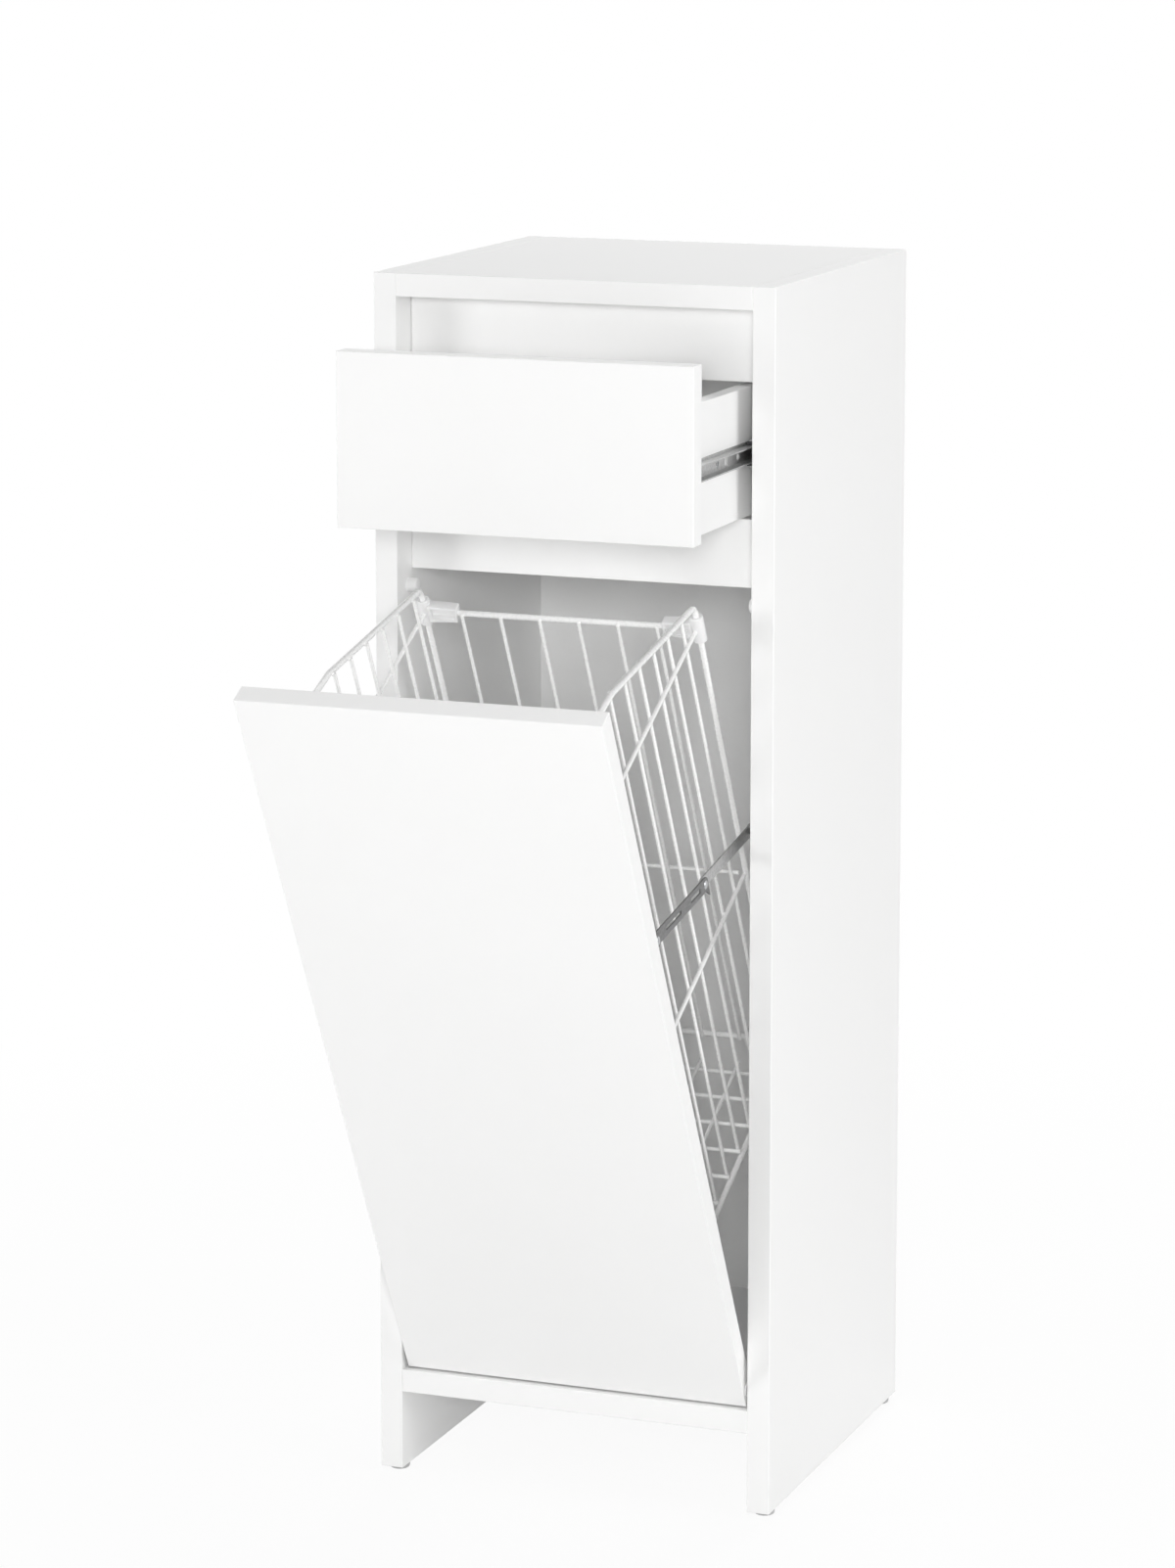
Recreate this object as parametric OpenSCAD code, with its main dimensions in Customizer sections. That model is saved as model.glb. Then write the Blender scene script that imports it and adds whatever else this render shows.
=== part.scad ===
// Bathroom side cabinet with a drawer and a tilt-out laundry hamper.
// Millimetres, X to the right, Y to the back, Z up. The origin is on the floor, in the
// middle of the space that the cabinet takes up with its drawer and hamper door open.
// Inside every frame module below, y counts back from the cabinet's front plane.

/* [Cabinet] */
// Outer width of the cabinet
cab_w = 340; // [330:5:450]
// Depth of the carcass, front edge to rear edge
cab_d = 338; // [334:2:400]
// Height from the floor to the top face
cab_h = 1000; // [980:5:1100]
// Thickness of the carcass boards
board_t = 19; // [17:0.5:22]
// Free height between the floor and the bottom panel
leg_h = 71; // [50:1:90]
// Thickness of the floor glides
glide_h = 5; // [3:0.5:8]
// Diameter of the floor glides
glide_d = 17; // [12:0.5:17]
// Thickness of the back panel
back_t = 4; // [3:0.5:6]
// Distance from the rear edges to the back panel
back_inset = 18; // [14:0.5:20]
// Depth of the groove that holds the back panel
groove_depth = 6; // [4:0.5:8]

/* [Front layout] */
// Thickness of the door and the drawer front
front_t = 18; // [16:0.5:20]
// Gap between a front and the side panels
side_gap = 3; // [2.5:0.5:4]
// Finger gap above the drawer front
grip_gap = 30; // [20:1:40]
// Height of the drawer front
drawer_front_h = 139; // [130:1:160]
// Finger gap between the drawer front and the door
front_gap = 19; // [10:1:25]
// Gap under the closed door
door_floor_gap = 4; // [3.5:0.5:8]
// Distance from the front plane to the face of the rails
rail_setback = 30; // [28:0.5:34]
// Height of the upper rail
upper_rail_h = 60; // [50:1:65]
// Height of the lower rail
lower_rail_h = 55; // [48:1:62]

/* [Drawer] */
// How far the drawer is pulled out
drawer_open = 126; // [0:1:200]
// How far the drawer runs out at most
drawer_travel = 200; // [180:5:200]
// Depth of the drawer box behind its front
drawer_depth = 270; // [266:1:280]
// Thickness of the drawer sides and back
drawer_side_t = 12; // [10:0.5:14]
// Thickness of the drawer bottom
drawer_bottom_t = 4; // [3:0.5:5]
// Height of the drawer bottom above the lower edge of its sides
drawer_bottom_rise = 8; // [6:0.5:12]
// Clearance between the drawer box and the rails
drawer_clear = 3; // [2:0.5:5]

/* [Runners] */
// Space for a runner beside the drawer box
runner_gap = 12.7; // [12.5:0.1:14]
// Height of the rail on the cabinet side
runner_h = 22; // [21:0.5:26]
// Height of the slide's web on the drawer side
slide_web_h = 18; // [16:0.5:18.5]
// Thickness of the runner steel
runner_t = 1.2; // [1:0.1:1.3]
// Length of the rail
runner_len = 270; // [266:1:290]
// Length of the slide
slide_len = 262; // [256:1:264]
// Gap between the closed drawer front and the rail's front end
runner_setback = 1; // [0.5:0.5:4]
// Height of the runner's middle above the lower edge of the drawer sides
runner_rise = 51; // [40:1:60]
// Diameter of the bearing balls
ball_d = 3; // [2.6:0.1:3.2]
// Clearance between a ball and its tracks
ball_clear = 0.1; // [0.05:0.05:0.2]
// Length of the ball cage
cage_len = 60; // [54:1:64]

/* [Hamper door] */
// Angle at which the door stands open
door_tilt = 28; // [15:0.5:28]
// Height of the pivot above the door's lower edge
pivot_rise = 11.5; // [11:0.5:14]
// Diameter of the pivot pins
pin_d = 6; // [5:0.5:7]
// Radial clearance of every pivot
pivot_clear = 0.05; // [0.02:0.01:0.1]

/* [Stays] */
// Height of the door-side pivot above the door's lower edge
stay_rise = 469; // [440:1:480]
// Distance from the door's back face to that pivot
stay_reach = 11; // [9:0.5:13]
// Distance from the door's side edge to the stay's bracket
stay_inset = 5; // [0:0.5:8]
// Distance from the front plane to the pivot on the side panel
stay_wall_depth = 38; // [38:0.5:44]
// How far the side panel's pivot sits below the closed door's pivot
stay_drop = 4; // [2:0.5:8]
// Length of the lower link, pivot to pivot
stay_link_len = 114.5; // [110:0.5:116]
// Length of the lower link's long slot
stay_slot_len = 34; // [28:1:38]
// Length of the lower link's short slot
stay_short_slot = 22; // [18:1:24]
// Width of the lower link
stay_lower_w = 12; // [10:0.5:12]
// Width of the upper link
stay_upper_w = 10; // [8:0.5:12]
// Thickness of the stay steel
stay_t = 1.5; // [1.2:0.1:1.6]
// Diameter of the stay's pivots
stay_pin_d = 4; // [3:0.5:4.5]

/* [Basket] */
// Width of the basket between the middles of its side frames
basket_w = 232; // [200:2:240]
// Depth of the basket between the middles of its front and rear wires
basket_d = 246; // [220:2:252]
// Distance from the door's back face to the basket's front wires
basket_standoff = 9; // [9:0.5:10]
// Height of the basket's lowest wire above the door's lower edge
basket_rise = 128; // [60:1:160]
// Clearance of the swinging rim under the lower rail
swing_clear = 1; // [1:0.5:6]
// Distance from the front plane to the bend in the rim
rim_bend = 95; // [80:1:110]
// Fall of the rim from its bend to the rear corner
rim_fall = 52; // [52:1:70]
// Height of the rear corner above the upper ring
ring_drop = 21; // [20:0.5:30]
// Height of the front and rear grids' lowest wire above the side frames' lowest wire
low_wire_rise = 23; // [18:1:40]
// Height of the middle ring above the lowest wire
mid_ring_h = 204; // [150:1:250]
// Diameter of the frame wire
rim_d = 5; // [4:0.5:5.5]
// Radius of the bends at the frame's corners
bend_r = 9; // [7:0.5:10]
// Diameter of the ring wire
ring_d = 3.5; // [3:0.5:4]
// Diameter of the upright wires
upright_d = 3; // [2.5:0.5:3.5]
// Gaps between uprights along a side
side_gaps = 8; // [6:1:10]
// How far the side uprights sit back from even gaps
upright_back = 9; // [9:1:12]
// Gaps between uprights along the front and the rear
rear_gaps = 7; // [5:1:9]

/* [Fittings] */
// Diameter of the cam housings
cam_d = 14.8; // [12:0.2:15]
// Depth of a cam housing below the middle of its bolt
cam_reach = 4.5; // [4.2:0.1:5]
// Distance from a board's end to the middle of its cam
cam_inset = 24; // [20:1:30]
// Distance from the front edge to the front cams
cam_front = 50; // [45:1:60]
// Distance from the rear edge to the rear cams
cam_rear = 65; // [55:1:75]
// Diameter of the cam bolts
bolt_d = 6; // [5:0.5:7]
// Depth of the bolts and dowels in a side panel
fitting_depth = 11; // [9:0.5:13]
// Diameter of the carcass dowels
dowel_d = 8; // [6:0.5:8]
// Length of a dowel inside a board's end
dowel_grip = 22; // [18:1:28]
// Distance from the front edge to the front dowels
dowel_front = 90; // [80:1:100]
// Distance from the rear edge to the rear dowels
dowel_rear = 105; // [95:1:115]
// Distance from the middle of a rail to each of its dowels
rail_dowel_rise = 18; // [15:0.5:19]
// Length of a drawer dowel inside the drawer front
box_dowel_sink = 10; // [8:0.5:12]
// Length of a drawer dowel inside the drawer side
box_dowel_grip = 14; // [12:1:20]
// Length of a drawer back screw inside the drawer back
box_screw_grip = 18; // [14:1:24]
// Distance of the drawer's dowels and screws from the edges of its sides
box_fitting_inset = 22; // [18:0.5:24]
// Diameter of the small screws
screw_d = 3; // [2.5:0.5:3.5]
// Diameter of the small screw heads
screw_head_d = 6; // [5:0.5:6.5]
// Diameter of the door stops
stop_d = 12; // [10:0.5:14]
// How far the door stops stand out of the side panels
stop_len = 9; // [7:0.5:11]

/* [Hidden] */
$fn = 48;

// Finishes
white = "whitesmoke";
inner_white = "gainsboro";
plastic = "white";
steel = "silver";
dark = "dimgray";
timber = "burlywood";

// Cuts run this far past the face that they open
past = 1;
// Play between a fastener and its hole
play = 0.05;
// Gap between flat faces that slide past each other
slip = 0.1;

// Carcass, from the floor up and from the top down
half_w = cab_w / 2;
inner_w = half_w - board_t;
top_z = cab_h - board_t;
floor_z = leg_h + board_t;
back_y = cab_d - back_inset - back_t;
drawer_front_top = top_z - grip_gap;
drawer_front_z = drawer_front_top - drawer_front_h;
door_top = drawer_front_z - front_gap;
door_z = floor_z + door_floor_gap;
upper_rail_z = top_z - upper_rail_h;
lower_rail_z = drawer_front_z - lower_rail_h;
rail_back = rail_setback + board_t;
front_half = inner_w - side_gap;

// Drawer box and its runners
box_half = inner_w - runner_gap;
box_z = drawer_front_z + drawer_clear;
box_top = upper_rail_z - drawer_clear;
box_back = front_t + drawer_depth;
box_groove = 5;
runner_z = box_z + runner_rise;
rail_lip_x = inner_w - 9;
track_z = runner_h / 2 - runner_t - ball_clear - ball_d / 2;
slide_flange = track_z - ball_d / 2 - ball_clear;
slide_tip_x = inner_w - 4;
ball_x = inner_w - 6;
cage_t = 0.6;
cage_web_x = inner_w - runner_t - 1;
end_stop_len = 6;
runner_front = front_t + runner_setback;
cage_front = runner_front + end_stop_len + drawer_travel / 2 + 1;
ball_pitch = 11;
ball_count = 5;
rail_screws = [48, 148, 248];
slide_screws = [78, 160, 240];
slide_hole_y = 126;
slide_slot_y = 98;

// Door pivot and the basket's swing under the lower rail
pivot_y = front_t / 2;
pivot_z = door_z + pivot_rise;
pin_grip = 12;
bush_wall = 2;
bush_len = 12.5;
swing_r = lower_rail_z - pivot_z - swing_clear - rim_d / 2;
function swing_height(y) = pivot_z + sqrt(pow(swing_r, 2) - pow(y - pivot_y, 2));

// Basket wires: the uprights are welded inside the rings
basket_x = basket_w / 2;
basket_front = front_t + basket_standoff;
basket_rear = basket_front + basket_d;
basket_z = door_z + basket_rise;
weld = 0.4;
bend_steps = 2;
bead = 0.1;
upright_in = rim_d / 2 + upright_d / 2 - weld;
ring_in = upright_in - ring_d / 2 - upright_d / 2 + weld;
rim_front_z = swing_height(rail_setback);
rim_bend_z = swing_height(rim_bend);
rim_rear_z = rim_bend_z - rim_fall;
ring_z = rim_rear_z - ring_drop;
mid_z = basket_z + mid_ring_h;
clip_len = 30;
clip_h = 16;
clip_d = 10;
wire_end = 6;
clip_rise = clip_h / 2 + 4;
low_wire_z = basket_z + low_wire_rise;
saddle_half = 8;
door_clip_rows = [low_wire_z + clip_rise + saddle_half + 6,
    rim_front_z - saddle_half - 14];

// Stay pivots, in the closed door's frame and as the door stands open
door_pin = [front_t + stay_reach, door_z + stay_rise];
wall_pin = [stay_wall_depth, door_z + stay_rise - stay_drop];
function opened(p) = [
    pivot_y + (p[0] - pivot_y) * cos(door_tilt) - (p[1] - pivot_z) * sin(door_tilt),
    pivot_z + (p[0] - pivot_y) * sin(door_tilt) + (p[1] - pivot_z) * cos(door_tilt)
];
open_pin = opened(door_pin);
stay_span = norm(wall_pin - open_pin);
stay_angle = atan2(wall_pin[1] - open_pin[1], wall_pin[0] - open_pin[0]);
stay_upper_len = stay_span - stay_link_len;
ear_x = front_half - stay_inset - stay_t;
lower_x = ear_x - 0.5 - stay_t;
upper_x = lower_x - stay_t - stay_t;
plate_x = inner_w - stay_t;
rivet_head_d = 7;
rivet_head_t = 0.9;
plate_screw_rise = 14;
bracket_screw_rise = 10;
bracket_screw_x = ear_x - 14;
stop_y = front_t + slip + stop_d / 2;
stop_z = lower_rail_z - 13;

// Board fittings: dowels as [y, z], cams as [y, z, turn], where turn 0 opens the cam
// downwards and turn 1 opens it backwards
top_mid = cab_h - board_t / 2;
floor_mid = leg_h + board_t / 2;
rail_mid_y = rail_setback + board_t / 2;
upper_mid = upper_rail_z + upper_rail_h / 2;
lower_mid = lower_rail_z + lower_rail_h / 2;
dowels = [
    for (z = [top_mid, floor_mid], y = [dowel_front, cab_d - dowel_rear]) [y, z],
    for (z = [upper_mid, lower_mid], s = [-1, 1]) [rail_mid_y, z + s * rail_dowel_rise]
];
cams = [
    for (z = [top_mid, floor_mid], y = [cam_front, cab_d - cam_rear]) [y, z, 0],
    for (z = [upper_mid, lower_mid]) [rail_mid_y, z, 1]
];
cam_h = board_t / 2 + cam_reach;
box_fittings = [box_z + box_fitting_inset, box_top - box_fitting_inset];

// The foremost point of the open cabinet, and the middle of the space that it takes up
front_reach = min(-drawer_open, opened([0, door_top])[0]);
middle_y = (front_reach + cab_d) / 2;

// The carcass frame: y = 0 is the front plane
module at_cabinet() translate([0, -middle_y, 0]) children();

// The drawer's frame, pulled out by drawer_open
module at_drawer() at_cabinet() translate([0, -drawer_open, 0]) children();

// The ball cages roll half as far as the drawer
module at_cage() at_cabinet() translate([0, -drawer_open / 2, 0]) children();

// The door's frame as if closed, turned about the pivot to its open angle
module at_door() at_cabinet()
    translate([0, pivot_y, pivot_z]) rotate([door_tilt, 0, 0])
    translate([0, -pivot_y, -pivot_z]) children();

// Places a right-hand piece on the left
module on_left() mirror([1, 0, 0]) children();

// Both hands of one piece
module on_both_sides() {
    children();
    on_left() children();
}

// A box between two x, two y and two z values
module span(x, y, z)
    translate([x[0], y[0], z[0]]) cube([x[1] - x[0], y[1] - y[0], z[1] - z[0]]);

// A rod of diameter d along X from x[0] to x[1]
module rod_x(x, y, z, d)
    translate([x[0], y, z]) rotate([0, 90, 0]) cylinder(d = d, h = x[1] - x[0]);

// A rod of diameter d along Y from y[0] to y[1]
module rod_y(x, y, z, d)
    translate([x, y[0], z]) rotate([-90, 0, 0]) cylinder(d = d, h = y[1] - y[0]);

// A rod of diameter d along Z from z[0] to z[1]
module rod_z(x, y, z, d) translate([x, y, z[0]]) cylinder(d = d, h = z[1] - z[0]);

// A wire between two points of a plane at constant x, each point as [y, z]
module wire(x, p, q, d) {
    run = norm(q - p);
    lean = atan2(q[1] - p[1], q[0] - p[0]);
    translate([x, p[0], p[1]]) rotate([lean - 90, 0, 0]) cylinder(d = d, h = run);
}

// Direction from p to q in the Y-Z plane, and the point one unit away in a direction
function heading(p, q) = atan2(q[1] - p[1], q[0] - p[0]);
function along(angle) = [cos(angle), sin(angle)];

// Clockwise turn of the path a-b-c at b
function turn_at(a, b, c) = (heading(a, b) - heading(b, c) + 720) % 360;

// Points of the bend that rounds the corner b of the path a-b-c
function bend_points(a, b, c) = let (
    into = heading(a, b), turn = turn_at(a, b, c),
    centre = b - bend_r * tan(turn / 2) * along(into) + bend_r * along(into - 90)
) [for (k = [0 : bend_steps]) centre + bend_r * along(into + 90 - turn * k / bend_steps)];

// A closed frame of bent wire in the plane at x; beads join the steps of its bends
module bent_frame(x, corners, d) {
    n = len(corners);
    path = [for (i = [0 : n - 1]) let (
        a = corners[(i + n - 1) % n], b = corners[i], c = corners[(i + 1) % n]
    ) each (turn_at(a, b, c) < 30 ? [b] : bend_points(a, b, c))];
    for (i = [0 : len(path) - 1]) {
        wire(x, path[i], path[(i + 1) % len(path)], d);
        translate([x, path[i][0], path[i][1]]) sphere(d = d + 2 * bead);
    }
}

// A plate of thickness t whose outline lies in the Y-Z plane, from x upwards
module plate_yz(x, t) translate([x, 0, 0]) rotate([90, 0, 90]) linear_extrude(t) children();

// Turns a flat outline about the stay's pivot p in the Y-Z plane
module swung(p, angle) translate([0, p[0], p[1]]) rotate([angle, 0, 0]) children();

// Holes in the right side panel for the dowels and bolts that enter it
module side_fitting_holes() {
    for (d = dowels) rod_x([inner_w - past, inner_w + fitting_depth + play], d[0], d[1],
        dowel_d + 2 * play);
    for (c = cams) rod_x([inner_w - past, inner_w + fitting_depth + play], c[0], c[1],
        bolt_d + 2 * play);
}

module side_panel() {
    difference() {
        span([inner_w, half_w], [0, cab_d], [glide_h, cab_h]);
        span([inner_w - past, inner_w + groove_depth], [back_y, back_y + back_t],
            [floor_z - groove_depth, top_z + groove_depth]);
        side_fitting_holes();
        rod_x([inner_w - past, inner_w + pin_grip + play], pivot_y, pivot_z, pin_d + 2 * play);
        rod_x([inner_w - past, inner_w + fitting_depth + play], stop_y, stop_z,
            stop_d / 2 + 2 * play);
        for (y = rail_screws) rod_x([inner_w - past, inner_w + fitting_depth + play], y,
            runner_z, screw_d + 2 * play);
        for (s = [-1, 1]) rod_x([inner_w - past, inner_w + fitting_depth + play],
            wall_pin[0], wall_pin[1] + s * plate_screw_rise, screw_d + 2 * play);
        for (y = [glide_d, cab_d - glide_d]) rod_z(half_w - board_t / 2, y,
            [glide_h - past, glide_h + fitting_depth + play], screw_d + 2 * play);
    }
}

module left_side_panel() color(white) at_cabinet() on_left() side_panel();
module right_side_panel() color(white) at_cabinet() side_panel();

// Whether the dowel d enters the end of the board whose middle is at height z
function enters(d, z) = d[1] == z
    || (d[0] == rail_mid_y && abs(d[1] - z) < rail_dowel_rise + 1);

// Pockets for the cams and dowels in both ends of the board at height z
module board_fittings(z) {
    on_both_sides() {
        for (d = dowels) if (enters(d, z))
            rod_x([inner_w - dowel_grip - play, inner_w + past], d[0], d[1], dowel_d + 2 * play);
        for (c = cams) if (c[1] == z) at_cam(c) {
            translate([0, 0, board_t / 2 - cam_h - play])
                cylinder(d = cam_d + 2 * play, h = cam_h + past);
            rod_x([0, cam_inset + past], 0, 0, bolt_d + 4 * play);
        }
    }
}

// A cam's own frame: its bolt runs along X, its open face is up
module at_cam(c) translate([inner_w - cam_inset, c[0], c[1]])
    rotate([c[2] == 0 ? 180 : -90, 0, 0]) children();

module top_panel() color(white) at_cabinet() difference() {
    span([-inner_w, inner_w], [0, cab_d], [top_z, cab_h]);
    span([-half_w, half_w], [back_y, back_y + back_t], [top_z - past, top_z + groove_depth]);
    board_fittings(top_mid);
}

module bottom_panel() color(white) at_cabinet() difference() {
    span([-inner_w, inner_w], [0, cab_d], [leg_h, floor_z]);
    span([-half_w, half_w], [back_y, back_y + back_t], [floor_z - groove_depth, floor_z + past]);
    board_fittings(floor_mid);
}

module back_panel() color(inner_white) at_cabinet()
    span([play - inner_w - groove_depth, inner_w + groove_depth - play],
        [back_y + play, back_y + back_t - play],
        [floor_z - groove_depth + play, top_z + groove_depth - play]);

module upper_rail() color(white) at_cabinet() difference() {
    span([-inner_w, inner_w], [rail_setback, rail_back], [upper_rail_z, top_z]);
    board_fittings(upper_mid);
}

module lower_rail() color(white) at_cabinet() difference() {
    span([-inner_w, inner_w], [rail_setback, rail_back], [lower_rail_z, drawer_front_z]);
    board_fittings(lower_mid);
}

// Nail-on glides under the four corners
module floor_glides() color(plastic) at_cabinet() on_both_sides()
    for (y = [glide_d, cab_d - glide_d]) {
        rod_z(half_w - board_t / 2, y, [0, glide_h], glide_d);
        rod_z(half_w - board_t / 2, y, [glide_h, glide_h + fitting_depth], screw_d);
    }

// Cam housings with the bore for the bolt's head and a cross recess
module cam_housings() color(steel) at_cabinet() on_both_sides()
    for (c = cams) at_cam(c) difference() {
        translate([0, 0, board_t / 2 - cam_h]) cylinder(d = cam_d, h = cam_h);
        rod_x([0, cam_d], 0, 0, bolt_d + 1.4);
        for (turn = [0, 90]) rotate([0, 0, turn])
            translate([-3.5, -0.6, board_t / 2 - 2]) cube([7, 1.2, 2 + past]);
    }

// Cam bolts: head inside the cam, neck, shaft and the thread in the side panel
module cam_bolts() color(steel) at_cabinet() on_both_sides()
    for (c = cams) at_cam(c) {
        rod_x([2, 5], 0, 0, bolt_d + 1);
        rod_x([5, 9], 0, 0, bolt_d - 1.5);
        rod_x([9, cam_inset + fitting_depth], 0, 0, bolt_d);
    }

module wood_dowels() color(timber) at_cabinet() on_both_sides()
    for (d = dowels) rod_x([inner_w - dowel_grip, inner_w + fitting_depth], d[0], d[1], dowel_d);

module door_pivot_pins() color(steel) at_cabinet() on_both_sides()
    rod_x([front_half - bush_len + 1, inner_w + pin_grip], pivot_y, pivot_z, pin_d);

// Push-in pegs that the closed door's back rests on
module door_stops() color(plastic) at_cabinet() on_both_sides() {
    rod_x([inner_w - stop_len, inner_w], stop_y, stop_z, stop_d);
    rod_x([inner_w, inner_w + fitting_depth], stop_y, stop_z, stop_d / 2);
}

// Channel on the side panel, open towards the drawer
module runner_rail() difference() {
    union() {
        span([inner_w - runner_t, inner_w], [runner_front, runner_front + runner_len],
            [runner_z - runner_h / 2, runner_z + runner_h / 2]);
        for (s = [-1, 1]) {
            flange_z = runner_z + s * (runner_h - runner_t) / 2;
            span([rail_lip_x, inner_w], [runner_front, runner_front + runner_len],
                [flange_z - runner_t / 2, flange_z + runner_t / 2]);
        }
    }
    for (y = rail_screws) rod_x([inner_w - runner_t - past, inner_w + past], y, runner_z,
        screw_head_d + 2 * play);
}

module left_runner_rail() color(steel) at_cabinet() on_left() runner_rail();
module right_runner_rail() color(steel) at_cabinet() runner_rail();

// Plastic stop in the mouth of each rail, cut clear of the slide
module runner_end_stops() color(dark) at_cabinet() on_both_sides() difference() {
    span([box_half + runner_t + 0.7, inner_w - runner_t - play],
        [runner_front, runner_front + end_stop_len],
        [runner_z - runner_h / 2 + runner_t + play, runner_z + runner_h / 2 - runner_t - play]);
    span([box_half, slide_tip_x + 4 * slip],
        [runner_front - past, runner_front + end_stop_len + past],
        [runner_z - slide_flange - 4 * slip, runner_z + slide_flange + 4 * slip]);
}

// Flat-head screws sunk in the rail's web
module runner_rail_screws() color(steel) at_cabinet() on_both_sides()
    for (y = rail_screws) {
        rod_x([inner_w - runner_t + play, inner_w], y, runner_z, screw_head_d);
        rod_x([inner_w, inner_w + fitting_depth], y, runner_z, screw_d);
    }

// Plate on the side panel with the stud that carries the upper link
module stay_wall_plate() {
    difference() {
        plate_yz(plate_x, stay_t) translate(wall_pin) {
            translate([-screw_head_d, -plate_screw_rise])
                square([2 * screw_head_d, 2 * plate_screw_rise]);
            for (s = [-1, 1]) translate([0, s * plate_screw_rise]) circle(r = screw_head_d);
        }
        for (s = [-1, 1]) rod_x([plate_x - past, inner_w + past], wall_pin[0],
            wall_pin[1] + s * plate_screw_rise, screw_head_d + 2 * play);
    }
    rod_x([upper_x + stay_t + slip, plate_x], wall_pin[0], wall_pin[1], stay_pin_d + 1);
    rod_x([upper_x - slip, upper_x + stay_t + slip], wall_pin[0], wall_pin[1], stay_pin_d);
    rod_x([upper_x - slip - rivet_head_t, upper_x - slip], wall_pin[0], wall_pin[1],
        rivet_head_d + 1);
}

module left_stay_wall_plate() color(steel) at_cabinet() on_left() stay_wall_plate();
module right_stay_wall_plate() color(steel) at_cabinet() stay_wall_plate();

module stay_wall_screws() color(steel) at_cabinet() on_both_sides() for (s = [-1, 1]) {
    screw_z = wall_pin[1] + s * plate_screw_rise;
    rod_x([plate_x, inner_w], wall_pin[0], screw_z, screw_head_d);
    rod_x([inner_w, inner_w + fitting_depth], wall_pin[0], screw_z, screw_d);
}

// The groove that takes the drawer bottom, grown by the given play
module drawer_bottom_slab(grow) span(
    [drawer_side_t - box_half - box_groove - grow, box_half - drawer_side_t + box_groove + grow],
    [front_t - box_groove - grow, box_back - drawer_side_t + box_groove + grow],
    [box_z + drawer_bottom_rise - grow, box_z + drawer_bottom_rise + drawer_bottom_t + grow]);

// Dowels between the drawer front and the drawer sides, grown by the given play
module drawer_dowel_rods(grow) on_both_sides() for (z = box_fittings)
    rod_y(box_half - drawer_side_t / 2,
        [front_t - box_dowel_sink - grow, front_t + box_dowel_grip + grow], z,
        drawer_side_t / 2 + 2 * grow);

module drawer_front() color(white) at_drawer() difference() {
    span([-front_half, front_half], [0, front_t], [drawer_front_z, drawer_front_top]);
    drawer_bottom_slab(play);
    drawer_dowel_rods(play);
}

// Screws through the drawer sides into the drawer back, grown by the given play
module drawer_back_rods(grow) on_both_sides() for (z = box_fittings) {
    rod_x([box_half - 2 - grow, box_half + (grow > 0 ? past : 0)], box_back - drawer_side_t / 2,
        z, screw_head_d + 2 * grow);
    rod_x([box_half - drawer_side_t - box_screw_grip - grow, box_half - 2],
        box_back - drawer_side_t / 2, z, screw_d + 2 * grow);
}

module drawer_side() difference() {
    span([box_half - drawer_side_t, box_half], [front_t, box_back], [box_z, box_top]);
    drawer_bottom_slab(play);
    drawer_dowel_rods(play);
    drawer_back_rods(play);
    for (y = slide_screws) rod_x([box_half - 9 - play, box_half + past], y, runner_z,
        screw_d + 2 * play);
}

module drawer_left_side() color(white) at_drawer() on_left() drawer_side();
module drawer_right_side() color(white) at_drawer() drawer_side();

module drawer_back() color(white) at_drawer() difference() {
    span([drawer_side_t - box_half, box_half - drawer_side_t],
        [box_back - drawer_side_t, box_back], [box_z, box_top]);
    drawer_bottom_slab(play);
    drawer_back_rods(play);
}

module drawer_bottom() color(inner_white) at_drawer() drawer_bottom_slab(0);
module drawer_dowels() color(timber) at_drawer() drawer_dowel_rods(0);
module drawer_back_screws() color(steel) at_drawer() drawer_back_rods(0);

// Slide on the drawer side: a web against the wood and two flanges for the balls
module runner_slide() difference() {
    union() {
        span([box_half, box_half + runner_t], [front_t, front_t + slide_len],
            [runner_z - slide_web_h / 2, runner_z + slide_web_h / 2]);
        for (s = [-1, 1]) {
            flange_z = runner_z + s * (slide_flange - runner_t / 2);
            span([box_half, slide_tip_x], [front_t, front_t + slide_len],
                [flange_z - runner_t / 2, flange_z + runner_t / 2]);
        }
    }
    for (y = slide_screws) rod_x([box_half - past, box_half + runner_t + past], y, runner_z,
        screw_head_d + 2 * play);
    rod_x([box_half - past, box_half + runner_t + past], slide_hole_y, runner_z, screw_head_d);
    for (s = [-1, 1]) rod_x([box_half - past, box_half + runner_t + past],
        slide_slot_y, runner_z + s * 2, screw_head_d - 1);
    span([box_half - past, box_half + runner_t + past],
        [slide_slot_y - screw_head_d / 2 + 0.5, slide_slot_y + screw_head_d / 2 - 0.5],
        [runner_z - 2, runner_z + 2]);
}

module left_runner_slide() color(steel) at_drawer() on_left() runner_slide();
module right_runner_slide() color(steel) at_drawer() runner_slide();

module runner_slide_screws() color(steel) at_drawer() on_both_sides()
    for (y = slide_screws) {
        rod_x([box_half, box_half + runner_t - play], y, runner_z, screw_head_d);
        rod_x([box_half - 9, box_half], y, runner_z, screw_d);
    }

// Places one ball's children at every ball of a cage
module at_balls() for (i = [0 : ball_count - 1], s = [-1, 1])
    translate([ball_x, cage_front + (cage_len - (ball_count - 1) * ball_pitch) / 2
        + i * ball_pitch, runner_z + s * track_z]) children();

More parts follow.
